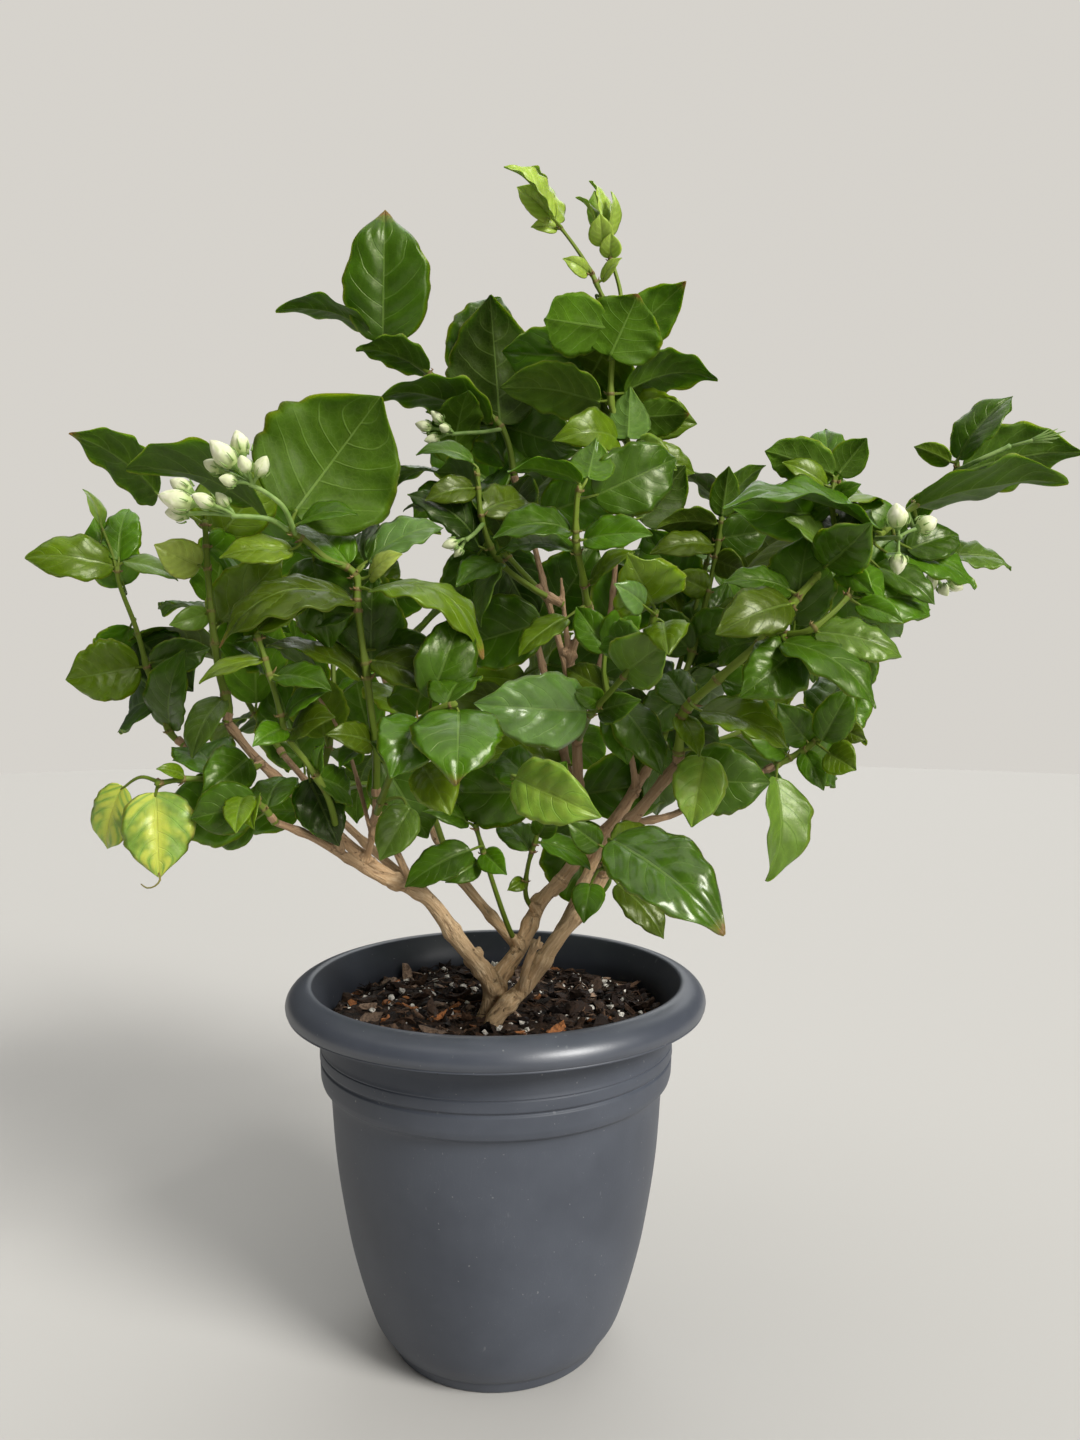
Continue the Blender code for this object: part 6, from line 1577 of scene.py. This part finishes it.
def bud(growth, hub, centre, width, length, seed):
    """Flower bud: a small stalk, a green calyx with narrow sepals, and furled petals."""
    direction = (centre - hub).normalized()
    foot = centre - direction * (length * 0.50)
    stalk = smooth_path([hub, hub.lerp(foot, 0.5) + UP * 0.0006, foot])
    sweep(growth, stalk, path_radii(stalk, tapered(*BUD_STALK)), STALK_SIDES, 1)
    out = around(direction)
    points, place = [], []
    for ring in range(BUD_RINGS):
        share = 0.04 + 0.95 * ring / (BUD_RINGS - 1)
        size = width * 0.48 * (math.sin(math.pi * min(share, 0.999) ** 0.80) ** 0.72)
        for corner in range(BUD_CORNERS):
            angle = math.tau * corner / BUD_CORNERS
            turn = ((angle + 1.5 * share + seed) * PETALS / math.tau) % 1.0
            overlap = 1.0 + 0.20 * (turn - 0.5) * math.sin(math.pi * share)
            points.append(foot + direction * (length * share) + out(angle) * size * overlap)
            place.append((1.0 if turn < 0.16 or turn > 0.94 else 0.0, share, size))
    faces = ring_faces(BUD_RINGS, BUD_CORNERS) + end_faces(0, BUD_CORNERS, len(points), False)
    faces += end_faces(len(points) - BUD_CORNERS, BUD_CORNERS, len(points) + 1, True)
    points += [foot, foot + direction * length]
    place += [PLAIN, (0.0, 1.0, 0.0)]
    small = min(1.0, max(0.0, (BUD_WIDTH - width) / BUD_WIDTH * 1.6))
    growth.add(points, faces, 0, place, (small, small, small))
    calyx(growth, foot, direction, width, length, seed)


def calyx(growth, foot, direction, width, length, seed):
    """Green cup at a bud's foot with narrow sepals that lie along the petals."""
    out = around(direction)
    cup = [foot - direction * 0.0006, foot + direction * length * 0.10,
           foot + direction * length * 0.24]
    sweep(growth, cup, [0.0010, width * 0.26, width * 0.40], CALYX_SIDES, 1)
    for sepal in range(SEPALS):
        angle = math.tau * sepal / SEPALS + seed
        curve = []
        for step in range(LOBE_STEPS):
            share = 0.14 + (0.32 + 0.10 * math.sin(5.0 * angle)) * step / (LOBE_STEPS - 1)
            reach = width * (0.34 + 0.20 * math.sin(math.pi * min(share * 1.5, 1.0)))
            reach += 0.0007 * step / (LOBE_STEPS - 1)
            curve.append(foot + direction * length * share + out(angle) * reach)
        radii = [0.00045 * (1.0 - step / (LOBE_STEPS - 1)) + 0.0001 for step in range(LOBE_STEPS)]
        sweep(growth, curve, radii, LOBE_SIDES, 1)


def spent_calyx(growth, hub, centre, width, length):
    """Calyx whose flower has dropped: long narrow lobes that spread like fingers."""
    direction = (centre - hub).normalized()
    foot = centre - direction * (length * 0.50)
    sweep(growth, [hub, foot, foot + direction * 0.002], [0.0008, 0.0009, 0.0013], STALK_SIDES, 1)
    for lobe in range(SPENT_LOBES):
        out = around(direction)(math.tau * lobe / SPENT_LOBES)
        long = length * (1.0 + 0.25 * math.sin(4.7 * lobe))
        curve = []
        for step in range(LOBE_STEPS):
            share = step / (LOBE_STEPS - 1)
            reach = 0.0009 + (0.5 * width + 0.0016 * math.sin(3.1 * lobe)) * share ** 1.4
            curve.append(foot + direction * (0.0015 + long * share) + out * reach)
        sweep(growth, curve, SPENT_RADII, LOBE_SIDES, 1)


def make_cyme(name, stalk, buds, materials):
    """Flower cluster: stalk, small stalks, calyces and buds."""
    growth = Growth()
    curve = smooth_path(stalk)
    radii = path_radii(curve, tapered(*CYME_STALK))
    radii[-1] *= 1.3
    sweep(growth, curve, radii, STEM_SIDES, 1)
    hub = stem_after_spur(stalk, SPUR_CYME)
    hub = hub[-1] + (hub[-2] - hub[-1]).normalized() * END_INSET
    for order, (u, v, y, width, length) in enumerate(buds):
        form = (*path((u, v, y)), width / PER_METRE, length / PER_METRE)
        if name == SPENT_CYME:
            spent_calyx(growth, hub, *form)
        else:
            bud(growth, hub, *form, 1.3 * order)
    return growth.finish(name + "_fine", materials, "bud", name)


def inner_radius(height):
    """Inner radius of the pot's plain wall at a height."""
    for (low, narrow), (high, wide) in zip(POT_BODY, POT_BODY[1:]):
        if height <= high:
            return narrow + (wide - narrow) * (height - low) / (high - low)
    return POT_BODY[-1][1]


def rounded(profile, reach):
    """Profile with each inner corner rounded over a reach."""
    result = [profile[0]]
    for before, corner, after in zip(profile, profile[1:], profile[2:]):
        before, corner, after = Vector(before), Vector(corner), Vector(after)
        room = min(reach, (corner - before).length * 0.45, (after - corner).length * 0.45)
        start = corner + (before - corner).normalized() * room
        stop = corner + (after - corner).normalized() * room
        for share in (0.0, 1 / 3, 2 / 3, 1.0):
            point = start * (1 - share) ** 2 + corner * (2 * share * (1 - share)) + stop * share ** 2
            result.append(tuple(point))
    return [*result, profile[-1]]


def smooth_profile(profile, count):
    """Smooth curve through profile points."""
    curve = smooth_path([Vector((radius, height, 0.0)) for radius, height in profile], 0.09 / count)
    return [(point.x, point.y) for point in curve]


def pot_profile():
    """Radius and height round the pot's wall, from the floor's middle up, over the rim and down."""
    inside = [(inner_radius(height), height) for height in (FLOOR, 0.024, 0.067, 0.141)]
    inside = smooth_profile([(0.004, FLOOR), (0.048, FLOOR)] + inside, 5)
    inside += smooth_profile(
        [(0.0971, 0.1850), (0.0976, 0.1930), (0.0991, 0.1978), (0.1016, 0.2024), (0.1041, 0.2062),
         (0.1052, 0.2078)], 45)
    flange = smooth_profile(
        [(0.1056, 0.2083), (0.1068, 0.2090), (0.1100, 0.2088), (0.1140, 0.2070), (0.1172, 0.2044),
         (0.1193, 0.2012), (0.1200, 0.1982), (0.1197, 0.1962), (0.1188, 0.1950)], 60)
    lip = [(0.1190, 0.1947), (0.1189, 0.1942), (0.1182, 0.1940), (0.1172, 0.1943), (0.1150, 0.1960)]
    neck = [(0.1030, 0.1962), (0.0994, 0.1945), (0.0990, 0.1900), (0.0993, 0.1830), (0.1003, 0.1760)]
    bands = [(0.1008, 0.1745), (0.1003, 0.1740), (0.1009, 0.1735), (0.1012, 0.1682), (0.0999, 0.1672),
             (0.0999, 0.1664), (0.1008, 0.1656), (0.1005, 0.1574), (0.0995, 0.1538), (0.0962, 0.1516),
             (0.0952, 0.1490)]
    barrel = smooth_profile(
        [(0.0950, 0.1475), (0.0919, 0.108), (0.0854, 0.067), (0.0802, 0.045), (0.0746, 0.0262),
         (0.0707, 0.0160), (0.0654, 0.0080)], 30)
    foot = [(0.0641, 0.0078), (0.0638, 0.0064), (0.0610, 0.0006), (0.0600, 0.0), (0.004, 0.0)]
    return inside + flange + lip + rounded(neck + bands, 0.0007) + barrel[1:] + rounded(foot, 0.0006)


def drain_holes():
    """Plugs that are cut out of the pot's floor."""
    drains = bmesh.new()
    for turn in range(DRAIN_COUNT):
        place = Matrix.Rotation(math.tau * turn / DRAIN_COUNT, 4, "Z")
        place @= Matrix.Translation((DRAIN_CIRCLE, 0, 0))
        bmesh.ops.create_cone(
            drains, cap_ends=True, segments=24, radius1=DRAIN_RADIUS, radius2=DRAIN_RADIUS,
            depth=6 * FLOOR, matrix=place)
    mesh = bpy.data.meshes.new("Drain holes")
    drains.to_mesh(mesh)
    drains.free()
    return linked("Drain holes", mesh)


def make_pot(plastic, painted_shade_lining):
    """Turned plastic shell with a rolled rim, two stepped bands, a foot step and drain holes. Its inside
    wall takes the darker plastic, as painted shade.
    """
    profile = pot_profile()
    points = [(x, y, height) for radius, height in profile for x, y in circle(radius, POT_STEPS)]
    pot = linked("pot_blank", closed_rings("pot_blank", points, POT_STEPS, FLOOR, 0.0))
    holes = drain_holes()
    cut = pot.modifiers.new("Drain holes", "BOOLEAN")
    cut.operation = "DIFFERENCE"
    cut.object = holes
    shell = applied(pot, "pot_fine", plastic, painted_shade_lining)
    bpy.data.objects.remove(holes)
    # Faces that look towards the axis below the rim's top take the darker inside plastic: painted shade
    for face in shell.polygons:
        middle = face.center
        towards_axis = middle.x * face.normal.x + middle.y * face.normal.y < 0.0
        face.material_index = 1 if towards_axis and middle.z < 0.2085 else 0
    shell.shade_smooth()
    shell.set_sharp_from_angle(angle=SHARP_EDGE)
    return placed_piece("pot_fine", shell, "pot", "pot")


def soil_height(x, y):
    """Height of the soil's fine surface."""
    height = SOIL_LEVEL + SOIL_DOME * (1.0 - (math.hypot(x, y) / SOIL_DOME_RADIUS) ** 2)
    for layer, scale, lump in SOIL_LUMPS:
        height += noise.noise(Vector((x, y, layer)) * scale) * lump
    return height


def make_soil(earth):
    """Potting mix that fills the pot, crumbly on top."""
    rim = inner_radius(SOIL_LEVEL) - GAP
    points = []
    for ring in range(1, SOIL_RINGS + 1):
        points += [(x, y, soil_height(x, y)) for x, y in circle(rim * ring / SOIL_RINGS, SOIL_SECTORS)]
    for height in (0.150, 0.067, 0.024, FLOOR + GAP):
        points += [(x, y, height) for x, y in circle(inner_radius(height) - GAP, SOIL_SECTORS)]
    mesh = closed_rings("soil_fine", points, SOIL_SECTORS, soil_height(0.0, 0.0), FLOOR + GAP)
    mesh.materials.append(earth)
    mesh.shade_smooth()
    return placed_piece("soil_fine", mesh, "soil", "soil")


def crumb(growth, rng, centre, size, tone, seed, detail):
    """One broken lump: a ball squeezed to three sizes, dented by noise and turned at random."""
    turn = Matrix.Rotation(rng.uniform(0, math.tau), 3, "Z")
    turn = turn @ Matrix.Rotation(rng.uniform(-0.8, 0.8), 3, "X")
    turn = turn @ Matrix.Rotation(rng.uniform(-0.6, 0.6), 3, "Y")
    bend = rng.uniform(-0.5, 0.5)
    points = []
    corners, faces = ball(detail, 1.0)
    for corner in corners:
        dent = 1.0 + 0.65 * noise.noise(corner * 1.2 + Vector((seed, 0.0, 0.0)))
        dent += 0.40 * noise.noise(corner * 3.1 + Vector((0.0, seed, 0.0)))
        shape = Vector([part * reach for part, reach in zip(corner, size)]) * dent
        shape.z += bend * shape.x * shape.x / size[0]
        points.append(centre + turn @ shape)
    growth.add(points, faces, tone=tone)


def fibre(growth, rng, centre, tone):
    """One thin bent fibre lying on the soil."""
    heading = rng.uniform(0, math.tau)
    length = rng.uniform(*FIBRE_LENGTH)
    points = []
    for step in range(FIBRE_POINTS):
        heading += rng.uniform(-0.7, 0.7)
        place = centre + Vector((math.cos(heading), math.sin(heading), 0.0)) * (
            length * step / (FIBRE_POINTS - 1))
        place.z = soil_height(place.x, place.y) + rng.uniform(0.0004, 0.0030)
        points.append(place)
    curve = smooth_path(points, STEM_STEP)
    thick = rng.uniform(*FIBRE_RADIUS)
    sweep(growth, curve, path_radii(curve, lambda share: thick * (1.0 - 0.6 * share)), 4, 0, tone)


def spot(rng, keep):
    """Random place on the soil, at least a distance from the root crown."""
    limit = inner_radius(SOIL_LEVEL) - WALL_CLEAR
    while True:
        radius = limit * math.sqrt(rng.random())
        angle = rng.uniform(0, math.tau)
        x, y = radius * math.cos(angle), radius * math.sin(angle)
        if math.hypot(x - CROWN.x, y - CROWN.y) > keep:
            return Vector((x, y, soil_height(x, y)))


def make_litter(material):
    """Bark chips, shreds, fibres and white grains on the soil."""
    growth = Growth()
    rng = random.Random(LITTER_SEED)
    near, clear = CROWN_CLEAR
    for seed in range(CHIPS):
        long = rng.uniform(*CHIP_LENGTH) * rng.uniform(0.7, 1.3)
        size = (long, long * rng.uniform(0.30, 0.70), long * rng.uniform(0.12, 0.34))
        tone = rng.choice(CHIP_TONES)
        shade = rng.uniform(0.6, 1.5)
        place = spot(rng, near) + UP * (long * 0.22 + rng.uniform(0.0, 0.0010))
        detail = 2 if long > LARGE_CHIP else 1
        crumb(growth, rng, place, size, [part * shade for part in tone], seed * 3.1, detail)
    for seed in range(GRAINS):
        long = rng.choice(GRAIN_SIZES) * rng.uniform(0.8, 1.2)
        size = (long, long * rng.uniform(0.6, 1.0), long * rng.uniform(0.5, 0.9))
        place = spot(rng, clear) + UP * (long * 0.4 + rng.uniform(0.0, 0.0014))
        crumb(growth, rng, place, size, GRAIN_TONE, seed * 1.7 + 900.0, 1)
    for _ in range(FIBRES):
        fibre(growth, rng, spot(rng, clear), rng.choice(FIBRE_TONES))
    growth.finish("soil_litter", [material], "soil").data.shade_flat()


def make_floor():
    """Plain pale floor."""
    shader = Shader("Floor", Roughness=0.75, Specular_IOR_Level=0.2, Base_Color=FLOOR_TONE)
    mesh = bpy.data.meshes.new("floor")
    points = [(x, y, -0.0002) for x, y in circle(FLOOR_RADIUS, FLOOR_SIDES)]
    mesh.from_pydata(points, [], [tuple(range(FLOOR_SIDES))])
    mesh.materials.append(shader.material)
    linked("floor", mesh)


def make_lights():
    """Soft window light from the front right, a ceiling and weak light behind."""
    for name, place, spread, strength, colour in LIGHTS:
        lamp = bpy.data.lights.new(name, "SUN")
        lamp.angle = math.radians(spread)
        lamp.energy = strength
        lamp.color = colour
        item = linked(name, lamp)
        item.location = place
        item.rotation_euler = (-Vector(place)).to_track_quat("-Z", "Y").to_euler()


def make_room():
    """Pale room that lights the plant weakly, with a brighter wall for the camera alone."""
    world = bpy.data.worlds.new("Pale room")
    world.use_nodes = True
    tree = world.node_tree
    room = tree.nodes["Background"]
    room.inputs["Color"].default_value = ROOM_TONE
    room.inputs["Strength"].default_value = ROOM_LIGHT
    wall = tree.nodes.new("ShaderNodeBackground")
    wall.inputs["Color"].default_value = WALL_TONE
    seen_by = tree.nodes.new("ShaderNodeLightPath")
    either = tree.nodes.new("ShaderNodeMixShader")
    tree.links.new(seen_by.outputs["Is Camera Ray"], either.inputs[0])
    tree.links.new(room.outputs[0], either.inputs[1])
    tree.links.new(wall.outputs[0], either.inputs[2])
    tree.links.new(either.outputs[0], tree.nodes["World Output"].inputs["Surface"])
    bpy.context.scene.world = world
    bpy.context.scene.view_settings.view_transform = "Standard"


def make_camera():
    """Camera at the viewpoint of the picture points."""
    data = bpy.data.cameras.new("Camera")
    data.sensor_width = SENSOR
    data.lens = FOCAL * SENSOR / PICTURE_HEIGHT
    camera = linked("Camera", data)
    camera.location = EYE
    camera.rotation_euler = (math.radians(90.0) - PITCH, 0.0, 0.0)
    bpy.context.scene.camera = camera


def main():
    """Build the room, the camera, the plant and its pot."""
    make_floor()
    make_lights()
    make_room()
    make_camera()
    plans = plan_shoots()
    leaves = [leaf_material("Leaf top fine", True), leaf_material("Leaf under fine", False),
              stem_material()]
    for name, _, radii, stem, twigs, forms in plans:
        make_shoot(name, radii, stem, twigs, forms, leaves)
    make_inner_leaves(plans, leaves)
    flowers = [petal_material(), calyx_material()]
    for name, stalk, buds in CYMES:
        make_cyme(name, stalk, buds, flowers)
    make_wood(plans, bark_material())
    # The inside wall is the plastic at 0.55 of its colour and shine: painted shade
    make_pot(pot_material("Grey plastic fine", 1.0), pot_material("Grey plastic inside painted shade fine", 0.55))
    make_soil(earth_material())
    make_litter(chip_material())


main()
